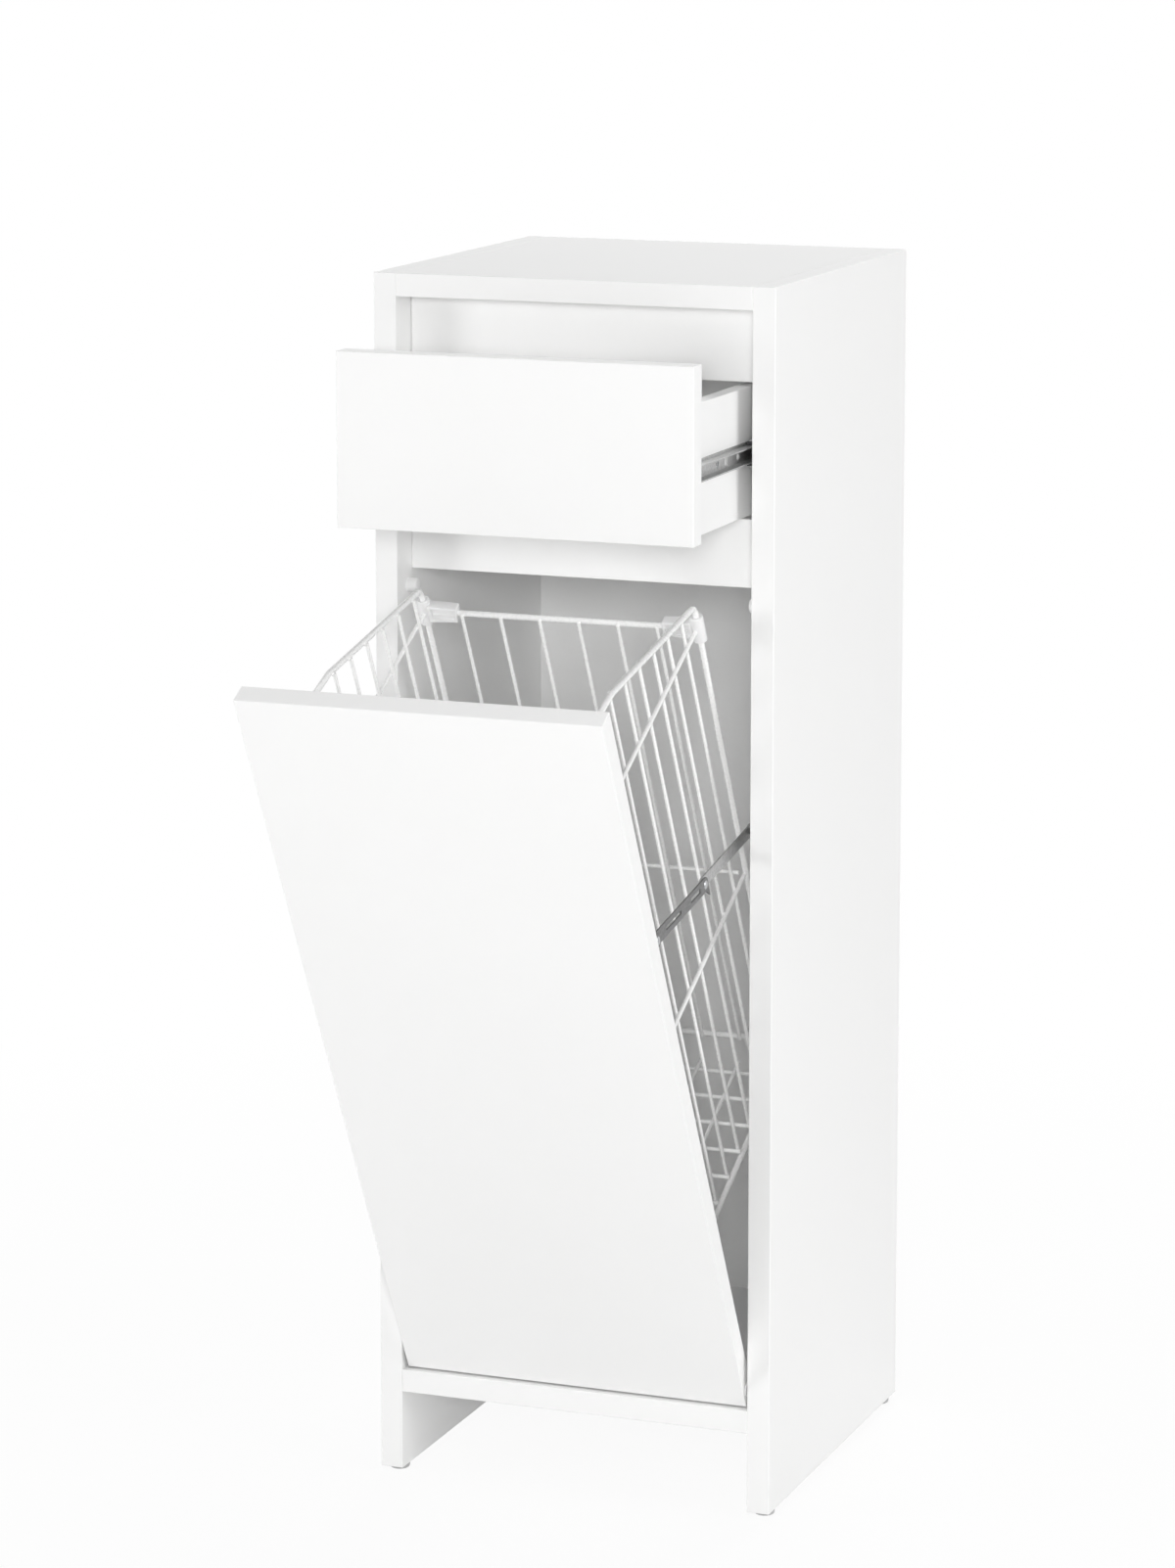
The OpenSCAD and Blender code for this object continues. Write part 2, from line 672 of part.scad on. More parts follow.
// Thin strip that keeps the balls apart
module ball_cage() difference() {
    union() {
        span([cage_web_x - cage_t, cage_web_x], [cage_front, cage_front + cage_len],
            [runner_z - track_z - cage_t / 2, runner_z + track_z + cage_t / 2]);
        for (s = [-1, 1]) span([ball_x - ball_d, cage_web_x],
            [cage_front, cage_front + cage_len],
            [runner_z + s * track_z - cage_t / 2, runner_z + s * track_z + cage_t / 2]);
    }
    at_balls() translate([0, 0, -cage_t]) cylinder(d = ball_d + 2 * play, h = 2 * cage_t);
}

module left_ball_cage() color(dark) at_cage() on_left() ball_cage();
module right_ball_cage() color(dark) at_cage() ball_cage();
module left_runner_balls() color(steel) at_cage() on_left() at_balls() sphere(d = ball_d);
module right_runner_balls() color(steel) at_cage() at_balls() sphere(d = ball_d);

module door_panel() color(white) at_door() difference() {
    span([-front_half, front_half], [0, front_t], [door_z, door_top]);
    on_both_sides() {
        rod_x([front_half - bush_len - play, front_half + past], pivot_y, pivot_z,
            pin_d + 2 * bush_wall + 2 * play);
        for (s = [-1, 1]) rod_y(bracket_screw_x, [front_t - fitting_depth - play,
            front_t + past], door_pin[1] + s * bracket_screw_rise, screw_d + 2 * play);
        for (z = door_clip_rows) rod_y(basket_x + 10, [front_t - fitting_depth - play,
            front_t + past], z, screw_d + 2 * play);
    }
}

// Collared bushes in the door's edges that turn on the pivot pins
module door_pivot_bushes() color(plastic) at_door() on_both_sides() difference() {
    union() {
        rod_x([front_half - bush_len, front_half], pivot_y, pivot_z, pin_d + 2 * bush_wall);
        rod_x([front_half, front_half + 1], pivot_y, pivot_z, pin_d + 3 * bush_wall);
    }
    rod_x([front_half - bush_len - past, front_half + 1 + past], pivot_y, pivot_z,
        pin_d + 2 * pivot_clear);
}

// Angle bracket on the door's back with the ear that carries the lower link
module stay_door_bracket() difference() {
    union() {
        span([ear_x - 20, ear_x + stay_t], [front_t, front_t + stay_t],
            [door_pin[1] - 15, door_pin[1] + 15]);
        span([ear_x, ear_x + stay_t], [front_t, door_pin[0]],
            [door_pin[1] - stay_lower_w / 2, door_pin[1] + stay_lower_w / 2]);
        rod_x([ear_x, ear_x + stay_t], door_pin[0], door_pin[1], stay_lower_w);
    }
    rod_x([ear_x - past, ear_x + stay_t + past], door_pin[0], door_pin[1],
        stay_pin_d + 2 * play);
    for (s = [-1, 1]) rod_y(bracket_screw_x, [front_t - past, front_t + stay_t + past],
        door_pin[1] + s * bracket_screw_rise, screw_d + 2 * play);
}

module left_stay_door_bracket() color(steel) at_door() on_left() stay_door_bracket();
module right_stay_door_bracket() color(steel) at_door() stay_door_bracket();

module stay_bracket_screws() color(steel) at_door() on_both_sides() for (s = [-1, 1]) {
    screw_z = door_pin[1] + s * bracket_screw_rise;
    rod_y(bracket_screw_x, [front_t - fitting_depth, front_t + stay_t], screw_z, screw_d);
    rod_y(bracket_screw_x, [front_t + stay_t, front_t + stay_t + 1.6], screw_z, screw_head_d);
}

// Rivets through the ears: the lower links turn on them
module stay_bracket_rivets() color(steel) at_door() on_both_sides() {
    rod_x([lower_x - slip, ear_x + stay_t], door_pin[0], door_pin[1], stay_pin_d);
    rod_x([ear_x + stay_t, ear_x + stay_t + rivet_head_t], door_pin[0], door_pin[1],
        rivet_head_d);
    rod_x([lower_x - slip - rivet_head_t, lower_x - slip], door_pin[0], door_pin[1],
        rivet_head_d);
}

// Outline of the lower link: two slots, the pivot holes and the stop nose
module lower_link_outline() difference() {
    union() {
        translate([0, -stay_lower_w / 2]) square([stay_link_len, stay_lower_w]);
        circle(d = stay_lower_w);
        translate([stay_link_len, 0]) circle(d = stay_lower_w);
        polygon([[stay_link_len + 1, -stay_lower_w / 2], [stay_link_len + 9, -stay_lower_w],
            [stay_link_len + stay_lower_w / 2, 0]]);
    }
    circle(d = stay_pin_d + 2 * pivot_clear);
    translate([stay_link_len, 0]) circle(d = stay_pin_d + 2 * play);
    translate([2 * stay_lower_w, -1.5]) square([stay_slot_len, 3]);
    translate([stay_link_len - stay_lower_w - stay_short_slot, -2]) square([stay_short_slot, 4]);
}

module stay_lower_link() swung(open_pin, stay_angle)
    plate_yz(lower_x, stay_t) lower_link_outline();

// Upper link, from the side panel's stud towards the middle rivet
module stay_upper_link() swung(wall_pin, stay_angle) {
    plate_yz(upper_x, stay_t) difference() {
        union() {
            translate([-stay_upper_len, -stay_upper_w / 2])
                square([stay_upper_len, stay_upper_w]);
            circle(d = stay_upper_w + 2);
            translate([-stay_upper_len, 0]) circle(d = stay_upper_w);
        }
        circle(d = stay_pin_d + 2 * pivot_clear);
    }
    rod_x([upper_x - rivet_head_t, upper_x], -stay_upper_len, 0, rivet_head_d);
}

// Head and shank of the middle rivet, ending short of the upper link
module stay_middle_rivet() swung(open_pin, stay_angle) {
    rod_x([lower_x + stay_t, lower_x + stay_t + rivet_head_t], stay_link_len, 0, rivet_head_d);
    rod_x([upper_x + stay_t + 3 * slip, lower_x + stay_t], stay_link_len, 0, stay_pin_d);
}

module left_stay_lower_link() color(steel) at_cabinet() on_left() stay_lower_link();
module right_stay_lower_link() color(steel) at_cabinet() stay_lower_link();
module left_stay_upper_link() color(steel) at_cabinet() on_left() stay_upper_link();
module right_stay_upper_link() color(steel) at_cabinet() stay_upper_link();
module left_stay_middle_rivet() color(steel) at_cabinet() on_left() stay_middle_rivet();
module right_stay_middle_rivet() color(steel) at_cabinet() stay_middle_rivet();

// Height of the rim's middle line at depth y
function rim_height(y) = y < rim_bend
    ? rim_front_z + (rim_bend_z - rim_front_z) * (y - basket_front) / (rim_bend - basket_front)
    : rim_bend_z - rim_fall * (y - rim_bend) / (basket_rear - rim_bend);

// Depth of a side's upright
function upright_y(i) = basket_front + upright_back + i * basket_d / side_gaps;

// Wire side of the basket: bent frame, two rings and the uprights
module basket_side() {
    bent_frame(basket_x, [[basket_front, basket_z], [basket_front, rim_front_z],
        [rim_bend, rim_bend_z], [basket_rear, rim_rear_z], [basket_rear, basket_z]], rim_d);
    for (z = [ring_z, mid_z]) rod_y(basket_x - ring_in, [basket_front, basket_rear], z, ring_d);
    for (i = [1 : side_gaps - 1]) {
        y = upright_y(i);
        rod_z(basket_x - upright_in, y, [basket_z, rim_height(y) + 1], upright_d);
    }
}

module basket_left_panel() color(plastic) at_door() on_left() basket_side();
module basket_right_panel() color(plastic) at_door() basket_side();

// Wire grid across the basket at depth y, with its uprights towards inward (1 back, -1 front)
module basket_cross_grid(y, inward) {
    reach = basket_x - wire_end;
    for (z = [ring_z, low_wire_z]) rod_x([-reach, reach], y, z, rim_d);
    rod_x([-reach, reach], y + inward * ring_in, mid_z, ring_d);
    for (i = [1 : rear_gaps - 1])
        rod_z(-basket_x + i * basket_w / rear_gaps, y + inward * upright_in,
            [low_wire_z, ring_z], upright_d);
}

module basket_rear_panel() color(plastic) at_door() basket_cross_grid(basket_rear, -1);
module basket_front_panel() color(plastic) at_door() basket_cross_grid(basket_front, 1);

// Loose floor grid that lies on the side panels' lowest wires, just in front of the uprights
module basket_bottom_panel() color(plastic) at_door() {
    rod_z0 = basket_z + rim_d / 2 + ring_d / 2 + slip;
    ahead = upright_d / 2 + ring_d / 2 + play;
    overhang = basket_d / side_gaps / 3;
    for (i = [1 : side_gaps - 1])
        rod_x([-basket_x, basket_x], upright_y(i) - ahead, rod_z0, ring_d);
    for (i = [1 : rear_gaps - 1])
        rod_y(-basket_x + i * basket_w / rear_gaps,
            [upright_y(1) - ahead - overhang, upright_y(side_gaps - 1) - ahead + overhang],
            rod_z0 + ring_d / 2 + upright_d / 2 - weld, upright_d);
}

// Plastic clip at a basket corner: a bar on the cross wire and a cap on the side's wire
module corner_clip(y, z) difference() {
    union() {
        span([basket_x - clip_len, basket_x - 2], [y - clip_d / 2, y + clip_d / 2],
            [z - clip_h / 2, z + clip_h / 2]);
        rod_z(basket_x, y, [z - clip_rise, z + clip_rise], clip_d + 1);
    }
    rod_z(basket_x, y, [z - clip_h, z + clip_h], rim_d + 2 * slip);
    rod_x([basket_x - clip_len - past, basket_x - wire_end + play], y, z, rim_d + 2 * slip);
    if (z == ring_z) rod_y(basket_x - ring_in, [y - clip_d, y + clip_d], z, ring_d + 2 * slip);
}

module basket_corner_clips() color(plastic) at_door() on_both_sides()
    for (y = [basket_front, basket_rear], z = [ring_z, low_wire_z]) corner_clip(y, z);

// Saddles screwed to the door's back that hold the side panels' front wires
module basket_door_clips() color(plastic) at_door() on_both_sides() for (z = door_clip_rows)
    difference() {
        span([basket_x - 6, basket_x + 15], [front_t, basket_front + 5],
            [z - saddle_half, z + saddle_half]);
        rod_z(basket_x, basket_front, [z - saddle_half - past, z + saddle_half + past],
            rim_d + 2 * slip);
        rod_y(basket_x + 10, [front_t - past, basket_front + 5 + past], z, screw_d + 2 * play);
        rod_y(basket_x + 10, [basket_front + 3, basket_front + 5 + past], z,
            screw_head_d + 2 * play);
    }

module basket_clip_screws() color(steel) at_door() on_both_sides() for (z = door_clip_rows) {
    rod_y(basket_x + 10, [front_t - fitting_depth, basket_front + 3], z, screw_d);
    rod_y(basket_x + 10, [basket_front + 3, basket_front + 4.8], z, screw_head_d);
}

left_side_panel();
right_side_panel();
top_panel();
bottom_panel();
back_panel();
upper_rail();
lower_rail();
floor_glides();
cam_housings();
cam_bolts();
wood_dowels();
door_pivot_pins();
door_stops();
left_runner_rail();
right_runner_rail();
runner_end_stops();
runner_rail_screws();
left_stay_wall_plate();
right_stay_wall_plate();
stay_wall_screws();
drawer_front();
drawer_left_side();
drawer_right_side();
drawer_back();
drawer_bottom();
drawer_dowels();
drawer_back_screws();
left_runner_slide();
right_runner_slide();
runner_slide_screws();
left_ball_cage();
right_ball_cage();
left_runner_balls();
right_runner_balls();
door_panel();
door_pivot_bushes();
left_stay_door_bracket();
right_stay_door_bracket();
stay_bracket_screws();
stay_bracket_rivets();
basket_left_panel();
basket_right_panel();
basket_rear_panel();
basket_front_panel();
basket_bottom_panel();
basket_corner_clips();
basket_door_clips();
basket_clip_screws();
left_stay_lower_link();
right_stay_lower_link();
left_stay_middle_rivet();
right_stay_middle_rivet();
left_stay_upper_link();
right_stay_upper_link();
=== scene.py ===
# %% [markdown]
# # A white bathroom side cabinet
# The cabinet stands with its drawer pulled out and its laundry hamper tilted forward. The
# CAD model is loaded as a fixed frame: it says where every piece is. This script gives the
# frame its looks: finishes, rounded board edges, bent wire, screws and moulded clips.

# %% Load the frame
import bpy
import bmesh
import math
from mathutils import Matrix, Vector


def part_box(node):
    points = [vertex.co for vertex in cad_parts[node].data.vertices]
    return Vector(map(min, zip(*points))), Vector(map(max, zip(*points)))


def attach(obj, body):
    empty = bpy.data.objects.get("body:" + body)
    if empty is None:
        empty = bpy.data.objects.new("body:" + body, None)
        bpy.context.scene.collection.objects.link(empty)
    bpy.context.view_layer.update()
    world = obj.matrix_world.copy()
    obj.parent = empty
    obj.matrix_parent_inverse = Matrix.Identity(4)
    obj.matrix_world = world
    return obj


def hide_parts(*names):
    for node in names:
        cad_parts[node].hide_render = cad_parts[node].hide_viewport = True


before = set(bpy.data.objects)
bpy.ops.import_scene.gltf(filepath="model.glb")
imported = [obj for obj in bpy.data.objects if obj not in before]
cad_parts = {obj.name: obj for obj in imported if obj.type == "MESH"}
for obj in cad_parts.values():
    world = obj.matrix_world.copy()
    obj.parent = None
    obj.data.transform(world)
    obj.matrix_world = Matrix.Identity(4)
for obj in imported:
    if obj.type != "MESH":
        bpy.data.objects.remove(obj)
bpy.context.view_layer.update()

# %% [markdown]
# ## A ruler
# The frame is in metres, but furniture is drawn in millimetres. `at` turns a place in the
# cabinet into a place in the frame: x from the middle, y back from the front plane and z up
# from the floor. The door is drawn shut and then swung open about its two pins. The drawer
# is drawn shut too, and the balls of its runners have rolled half as far as the drawer.

# %% Places in the cabinet, the drawer and the door
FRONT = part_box("right_side_panel")[0].y
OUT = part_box("drawer_front")[0].y - FRONT


def at(x, y, z):
    return Vector((x / 1000, FRONT + y / 1000, z / 1000))


PIN = at(0, 9, 105.5)
OPEN_ANGLE = math.radians(28)
SWING = (Matrix.Translation(PIN) @ Matrix.Rotation(OPEN_ANGLE, 4, "X")
         @ Matrix.Translation(-PIN))
PULL = Matrix.Translation((0, OUT, 0))
ROLL = Matrix.Translation((0, OUT / 2, 0))
STILL = Matrix.Identity(4)
print("front plane", round(FRONT, 6), "drawer out", round(-OUT, 4))

# %% [markdown]
# ## The camera
# The photograph was taken from the right and a little above, with a long lens. The view
# comes from fitting a pinhole camera to the cabinet's edges. The lens is shifted a little,
# which keeps the uprights nearly parallel while the camera looks down.

# %% Camera
LOOK_DOWN, LOOK_LEFT = math.radians(9.106), math.radians(20.983)
lens = bpy.data.cameras.new("camera")
lens.lens = 116.44
lens.sensor_width = 36
lens.shift_y = -0.1298
lens.clip_end = 200
camera = bpy.data.objects.new("camera", lens)
camera.location = (1.4388, FRONT - 3.7168, 1.3985)
camera.rotation_euler = (math.pi / 2 - LOOK_DOWN, 0, LOOK_LEFT)
bpy.context.scene.collection.objects.link(camera)
bpy.context.scene.camera = camera
bpy.context.scene.view_settings.view_transform = "Standard"
print("camera distance", round(camera.location.length, 2), "m")

# %% [markdown]
# ## Node helpers
# A finish is a small tree of nodes around one Principled shader. These helpers add nodes in
# one line. All patterns read Object coordinates, in metres, so a grain keeps its size on a
# big board and on a small peg.

# %% Helpers for finishes


def node(tree, kind, **settings):
    made = tree.nodes.new(kind)
    for key, value in settings.items():
        setattr(made, key, value)
    return made


def finish(name, color, rough, **sockets):
    material = bpy.data.materials.new(name)
    material.use_nodes = True
    tree = material.node_tree
    shader = tree.nodes["Principled BSDF"]
    shader.inputs["Base Color"].default_value = (*color, 1)
    shader.inputs["Roughness"].default_value = rough
    for key, value in sockets.items():
        shader.inputs[key.replace("_", " ")].default_value = value
    coords = node(tree, "ShaderNodeTexCoord").outputs["Object"]
    return material, tree, shader, coords


def noise(tree, coords, scale, detail, stretch=(1, 1, 1)):
    spread = node(tree, "ShaderNodeMapping")
    spread.inputs["Scale"].default_value = stretch
    cloud = node(tree, "ShaderNodeTexNoise")
    cloud.inputs["Scale"].default_value = scale
    cloud.inputs["Detail"].default_value = detail
    tree.links.new(coords, spread.inputs["Vector"])
    tree.links.new(spread.outputs["Vector"], cloud.inputs["Vector"])
    return cloud.outputs["Fac"]


def between(tree, fac, low, high, start=0.3, stop=0.7):
    ramp = node(tree, "ShaderNodeMapRange")
    for key, value in (("From Min", start), ("From Max", stop), ("To Min", low),
                       ("To Max", high)):
        ramp.inputs[key].default_value = value
    tree.links.new(fac, ramp.inputs["Value"])
    return ramp.outputs["Result"]


def tint(tree, fac, low, high):
    ramp = node(tree, "ShaderNodeValToRGB")
    ramp.color_ramp.elements[0].position = 0.3
    ramp.color_ramp.elements[1].position = 0.7
    ramp.color_ramp.elements[0].color = (*low, 1)
    ramp.color_ramp.elements[1].color = (*high, 1)
    tree.links.new(fac, ramp.inputs["Fac"])
    return ramp.outputs["Color"]


def bump(tree, shader, fac, height, strength):
    relief = node(tree, "ShaderNodeBump")
    relief.inputs["Distance"].default_value = height
    relief.inputs["Strength"].default_value = strength
    tree.links.new(fac, relief.inputs["Height"])
    tree.links.new(relief.outputs["Normal"], shader.inputs["Normal"])


FINISH = {}

# %% [markdown]
# ## White boards
# The panels are chipboard with a white foil: a satin surface with a fine, even orange peel
# from the press plate, and slow changes of gloss. Two layers of noise do this: a fine one
# as bump, and a broad one on the roughness and very slightly on the white.

# %% White board and thin board


def white_board():
    material, tree, shader, coords = finish("white_board", (0.945, 0.945, 0.941), 0.42)
    broad = noise(tree, coords, 6, 3)
    fine = noise(tree, coords, 900, 2)
    tree.links.new(tint(tree, broad, (0.94, 0.94, 0.935), (0.95, 0.95, 0.946)),
                   shader.inputs["Base Color"])
    tree.links.new(between(tree, broad, 0.36, 0.46), shader.inputs["Roughness"])
    bump(tree, shader, fine, 0.00003, 0.35)
    return material


def thin_board():
    material, tree, shader, coords = finish("thin_board", (0.94, 0.94, 0.935), 0.55)
    weave = noise(tree, coords, 500, 4, (1, 0.35, 1))
    tree.links.new(tint(tree, weave, (0.933, 0.933, 0.928), (0.947, 0.947, 0.943)),
                   shader.inputs["Base Color"])
    bump(tree, shader, weave, 0.00006, 0.4)
    return material


for make in (white_board, thin_board):
    FINISH[make.__name__] = make()
print("finishes", sorted(FINISH))

# %% [markdown]
# ## Powder coat and plastic
# The basket's wires are powder coated: thick, glossy and gently wavy. A clear coat over a
# bumpy base gives the crisp highlight that runs along each wire. The clips and glides are
# moulded nylon, duller, with the fine spark-eroded texture of their mould. The glides are
# painted a mid grey: painted shade, for the shade that falls under the cabinet.

# %% Powder coat, white plastic and black plastic


def white_wire():
    material, tree, shader, coords = finish(
        "white_wire", (0.95, 0.95, 0.945), 0.28, Coat_Weight=0.6, Coat_Roughness=0.12)
    peel = noise(tree, coords, 420, 2)
    tree.links.new(between(tree, peel, 0.24, 0.34), shader.inputs["Roughness"])
    bump(tree, shader, peel, 0.00008, 0.5)
    return material


def white_plastic(name="white_plastic", grey=0.84):
    material, tree, shader, coords = finish(name, (grey,) * 3, 0.46)
    grain = noise(tree, coords, 2200, 2)
    cloud = noise(tree, coords, 60, 2)
    tree.links.new(tint(tree, cloud, (grey - 0.015,) * 3, (grey + 0.015,) * 3),
                   shader.inputs["Base Color"])
    tree.links.new(between(tree, grain, 0.42, 0.52), shader.inputs["Roughness"])
    bump(tree, shader, grain, 0.00003, 0.5)
    return material


def black_plastic():
    material, tree, shader, coords = finish("black_plastic", (0.018, 0.019, 0.021), 0.5)
    grain = noise(tree, coords, 1800, 3)
    tree.links.new(tint(tree, grain, (0.014, 0.015, 0.017), (0.03, 0.031, 0.034)),
                   shader.inputs["Base Color"])
    bump(tree, shader, grain, 0.00005, 0.6)
    return material


for make in (white_wire, white_plastic, black_plastic):
    FINISH[make.__name__] = make()
# Painted shade: the glides' mid grey stands for the shade under the cabinet.
worn_plastic = white_plastic("worn_plastic", 0.5)
print("finishes", sorted(FINISH))

# %% [markdown]
# ## Metals
# Runners and stays are cold-rolled steel with a thin zinc layer. Zinc crystals show as a
# faint patchwork, which a Voronoi pattern gives, and rolling leaves fine lines along the
# strip. The stays' lower links, wall plates and door brackets have a darker coat. Screws
# are brighter and smoother, cams are grainy die castings, and bearing balls are polished.

# %% Zinc steel, screw steel, cast zinc and polished balls


def zinc_steel(name="zinc_steel", grey=0.47):
    low, high = (grey * 0.9,) * 3, (grey * 1.08,) * 3
    material, tree, shader, coords = finish(name, (grey,) * 3, 0.45, Metallic=1.0)
    spangle = node(tree, "ShaderNodeTexVoronoi")
    spangle.inputs["Scale"].default_value = 420
    tree.links.new(coords, spangle.inputs["Vector"])
    tree.links.new(tint(tree, spangle.outputs["Distance"], low, high),
                   shader.inputs["Base Color"])
    lines = noise(tree, coords, 60, 4, (40, 1, 40))
    tree.links.new(between(tree, lines, 0.38, 0.56), shader.inputs["Roughness"])
    bump(tree, shader, lines, 0.00002, 0.4)
    return material


def screw_steel():
    material, tree, shader, coords = finish(
        "screw_steel", (0.5, 0.51, 0.52), 0.3, Metallic=1.0)
    smudge = noise(tree, coords, 350, 3)
    tree.links.new(tint(tree, smudge, (0.4, 0.41, 0.42), (0.58, 0.59, 0.6)),
                   shader.inputs["Base Color"])
    tree.links.new(between(tree, smudge, 0.22, 0.4), shader.inputs["Roughness"])
    return material


def cast_zinc():
    material, tree, shader, coords = finish(
        "cast_zinc", (0.42, 0.43, 0.44), 0.5, Metallic=1.0)
    grain = noise(tree, coords, 1500, 4)
    tree.links.new(between(tree, grain, 0.42, 0.6), shader.inputs["Roughness"])
    tree.links.new(tint(tree, grain, (0.36, 0.37, 0.38), (0.48, 0.49, 0.5)),
                   shader.inputs["Base Color"])
    bump(tree, shader, grain, 0.00008, 0.6)
    return material


def ball_steel():
    material, tree, shader, coords = finish(
        "ball_steel", (0.62, 0.63, 0.64), 0.08, Metallic=1.0)
    film = noise(tree, coords, 700, 2)
    tree.links.new(between(tree, film, 0.06, 0.14), shader.inputs["Roughness"])
    return material


for make in (zinc_steel, screw_steel, cast_zinc, ball_steel):
    FINISH[make.__name__] = make()
stay_steel = zinc_steel("stay_steel", 0.2)
print("finishes", sorted(FINISH))

# %% [markdown]
# ## Beech
# The dowels are turned beech: short dark flecks along the grain, with fluted sides that the
# glue runs down. They hide in the boards, but a stranger who takes the cabinet apart sees
# them. The grain is noise stretched along the dowel.

# %% Beech


def beech(name, stretch):
    material, tree, shader, coords = finish(name, (0.56, 0.37, 0.22), 0.6)
    grain = noise(tree, coords, 260, 5, stretch)
    fleck = noise(tree, coords, 900, 2, stretch)
    tree.links.new(tint(tree, grain, (0.43, 0.27, 0.15), (0.62, 0.43, 0.27)),
                   shader.inputs["Base Color"])
    bump(tree, shader, fleck, 0.0001, 0.5)
    return material


FINISH["beech"] = beech("beech", (0.06, 1, 1))
beech_along_y = beech("beech_along_y", (1, 0.06, 1))

# %% [markdown]
# ## Studio
# The photograph is a cut-out on pure white. Four soft round lamps stand 4.8 m away: a key
# by the camera, a weak one on the left that reaches into the cabinet, a broad one for the
# right side and one high up behind for the top. The world adds a little even light. The
# camera and mirror-like metal see a white surround through Light Path, so no white comes
# from more lamp light.

# %% World and soft lamps


def seen_directly(tree):
    rays = node(tree, "ShaderNodeLightPath")
    seen = rays.outputs["Is Camera Ray"]
    for name in ("Is Glossy Ray", "Is Transmission Ray"):
        either = node(tree, "ShaderNodeMath", operation="MAXIMUM")
        tree.links.new(seen, either.inputs[0])
        tree.links.new(rays.outputs[name], either.inputs[1])
        seen = either.outputs[0]
    return seen


world = bpy.data.worlds.new("studio")
bpy.context.scene.world = world
world.use_nodes = True
sky = world.node_tree
sky.nodes.clear()
lit = node(sky, "ShaderNodeBackground")
lit.inputs["Color"].default_value = (1, 1, 1, 1)
lit.inputs["Strength"].default_value = 0.13
surround = node(sky, "ShaderNodeBackground")
surround.inputs["Color"].default_value = (1, 1, 1, 1)
pick = node(sky, "ShaderNodeMixShader")
sky.links.new(seen_directly(sky), pick.inputs["Fac"])
sky.links.new(lit.outputs[0], pick.inputs[1])
sky.links.new(surround.outputs[0], pick.inputs[2])
sky.links.new(pick.outputs[0], node(sky, "ShaderNodeOutputWorld").inputs["Surface"])

MIDDLE = Vector((0, FRONT, 0.5))
LAMP_DISTANCE = 4.8


def soft_light(name, azimuth, height, size, power):
    turn, rise = math.radians(azimuth), math.radians(height)
    lamp = bpy.data.lights.new(name, "AREA")
    lamp.shape = "DISK"
    lamp.size = size
    lamp.energy = power
    toward = Vector((math.sin(turn) * math.cos(rise), -math.cos(turn) * math.cos(rise),
                     math.sin(rise)))
    panel = bpy.data.objects.new(name, lamp)
    panel.location = MIDDLE + toward * LAMP_DISTANCE
    panel.rotation_euler = (-toward).to_track_quat("-Z", "Y").to_euler()
    bpy.context.scene.collection.objects.link(panel)


soft_light("key", 21, 14, 1.0, 90)
soft_light("left_fill", -58, 8, 1.5, 74)
soft_light("right_fill", 80, 15, 3.0, 92)
soft_light("overhead", 180, 60, 2.0, 104)
print("world strength", round(lit.inputs["Strength"].default_value, 3))

# %% [markdown]
# ## Floor
# The floor is a huge pale disc. A share of its own diffuse surface keeps the cabinet's soft
# shadow, and a glow that only the camera and reflections see lifts it to the white of the
# surround. The glow's share grows with the distance, so no edge of the disc shows.

# %% Floor
FLOOR_RADIUS = 60
NEAR, FAR = 0.35, 1.6
NEAR_SHARE, FAR_SHARE = 0.93, 1.0
floor_mesh = bpy.data.meshes.new("floor")
disc = bmesh.new()
bmesh.ops.create_circle(disc, cap_ends=True, segments=96, radius=FLOOR_RADIUS)
disc.to_mesh(floor_mesh)
disc.free()
floor = bpy.data.objects.new("floor", floor_mesh)
bpy.context.scene.collection.objects.link(floor)
pale, tree, shader, coords = finish("pale_floor", (0.9, 0.9, 0.9), 0.8)
shader.inputs["Specular IOR Level"].default_value = 0.1
reach = node(tree, "ShaderNodeVectorMath", operation="LENGTH")
tree.links.new(coords, reach.inputs[0])
glow_share = between(tree, reach.outputs["Value"], NEAR_SHARE, FAR_SHARE, NEAR, FAR)
share = node(tree, "ShaderNodeMath", operation="MULTIPLY")
tree.links.new(seen_directly(tree), share.inputs[0])
tree.links.new(glow_share, share.inputs[1])
glow = node(tree, "ShaderNodeEmission")
blend = node(tree, "ShaderNodeMixShader")
tree.links.new(share.outputs[0], blend.inputs["Fac"])
tree.links.new(shader.outputs[0], blend.inputs[1])
tree.links.new(glow.outputs[0], blend.inputs[2])
tree.links.new(blend.outputs[0], tree.nodes["Material Output"].inputs["Surface"])
floor_mesh.materials.append(pale)
print("floor radius", FLOOR_RADIUS, "m")

# %% [markdown]
# ## Pieces from the frame
# The frame's meshes are triangles with no rounded edges. A piece is copied, its loose
# triangles are merged and dissolved into big faces, and the edges to round get a bevel
# weight. A Bevel modifier limited by weight rounds only those, where a plain one would
# also round every hidden hole. Weighted normals then keep the big faces flat.

# %% Copy a CAD node as a clean mesh
FLAT = math.radians(0.3)
SAME_PLACE = 2e-6
SHARP_DEGREES = 35


def clean_copy(name, home=STILL):
    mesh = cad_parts[name].data.copy()
    mesh.transform(home.inverted())
    work = bmesh.new()
    work.from_mesh(mesh)
    bmesh.ops.remove_doubles(work, verts=work.verts, dist=SAME_PLACE)
    bmesh.ops.dissolve_limit(work, angle_limit=FLAT, verts=work.verts, edges=work.edges)
    bmesh.ops.recalc_face_normals(work, faces=work.faces)
    return mesh, work


def weigh(work, chosen):
    layer = (work.edges.layers.float.get("bevel_weight_edge")
             or work.edges.layers.float.new("bevel_weight_edge"))
    for edge in work.edges:
        edge[layer] = float(chosen(edge))


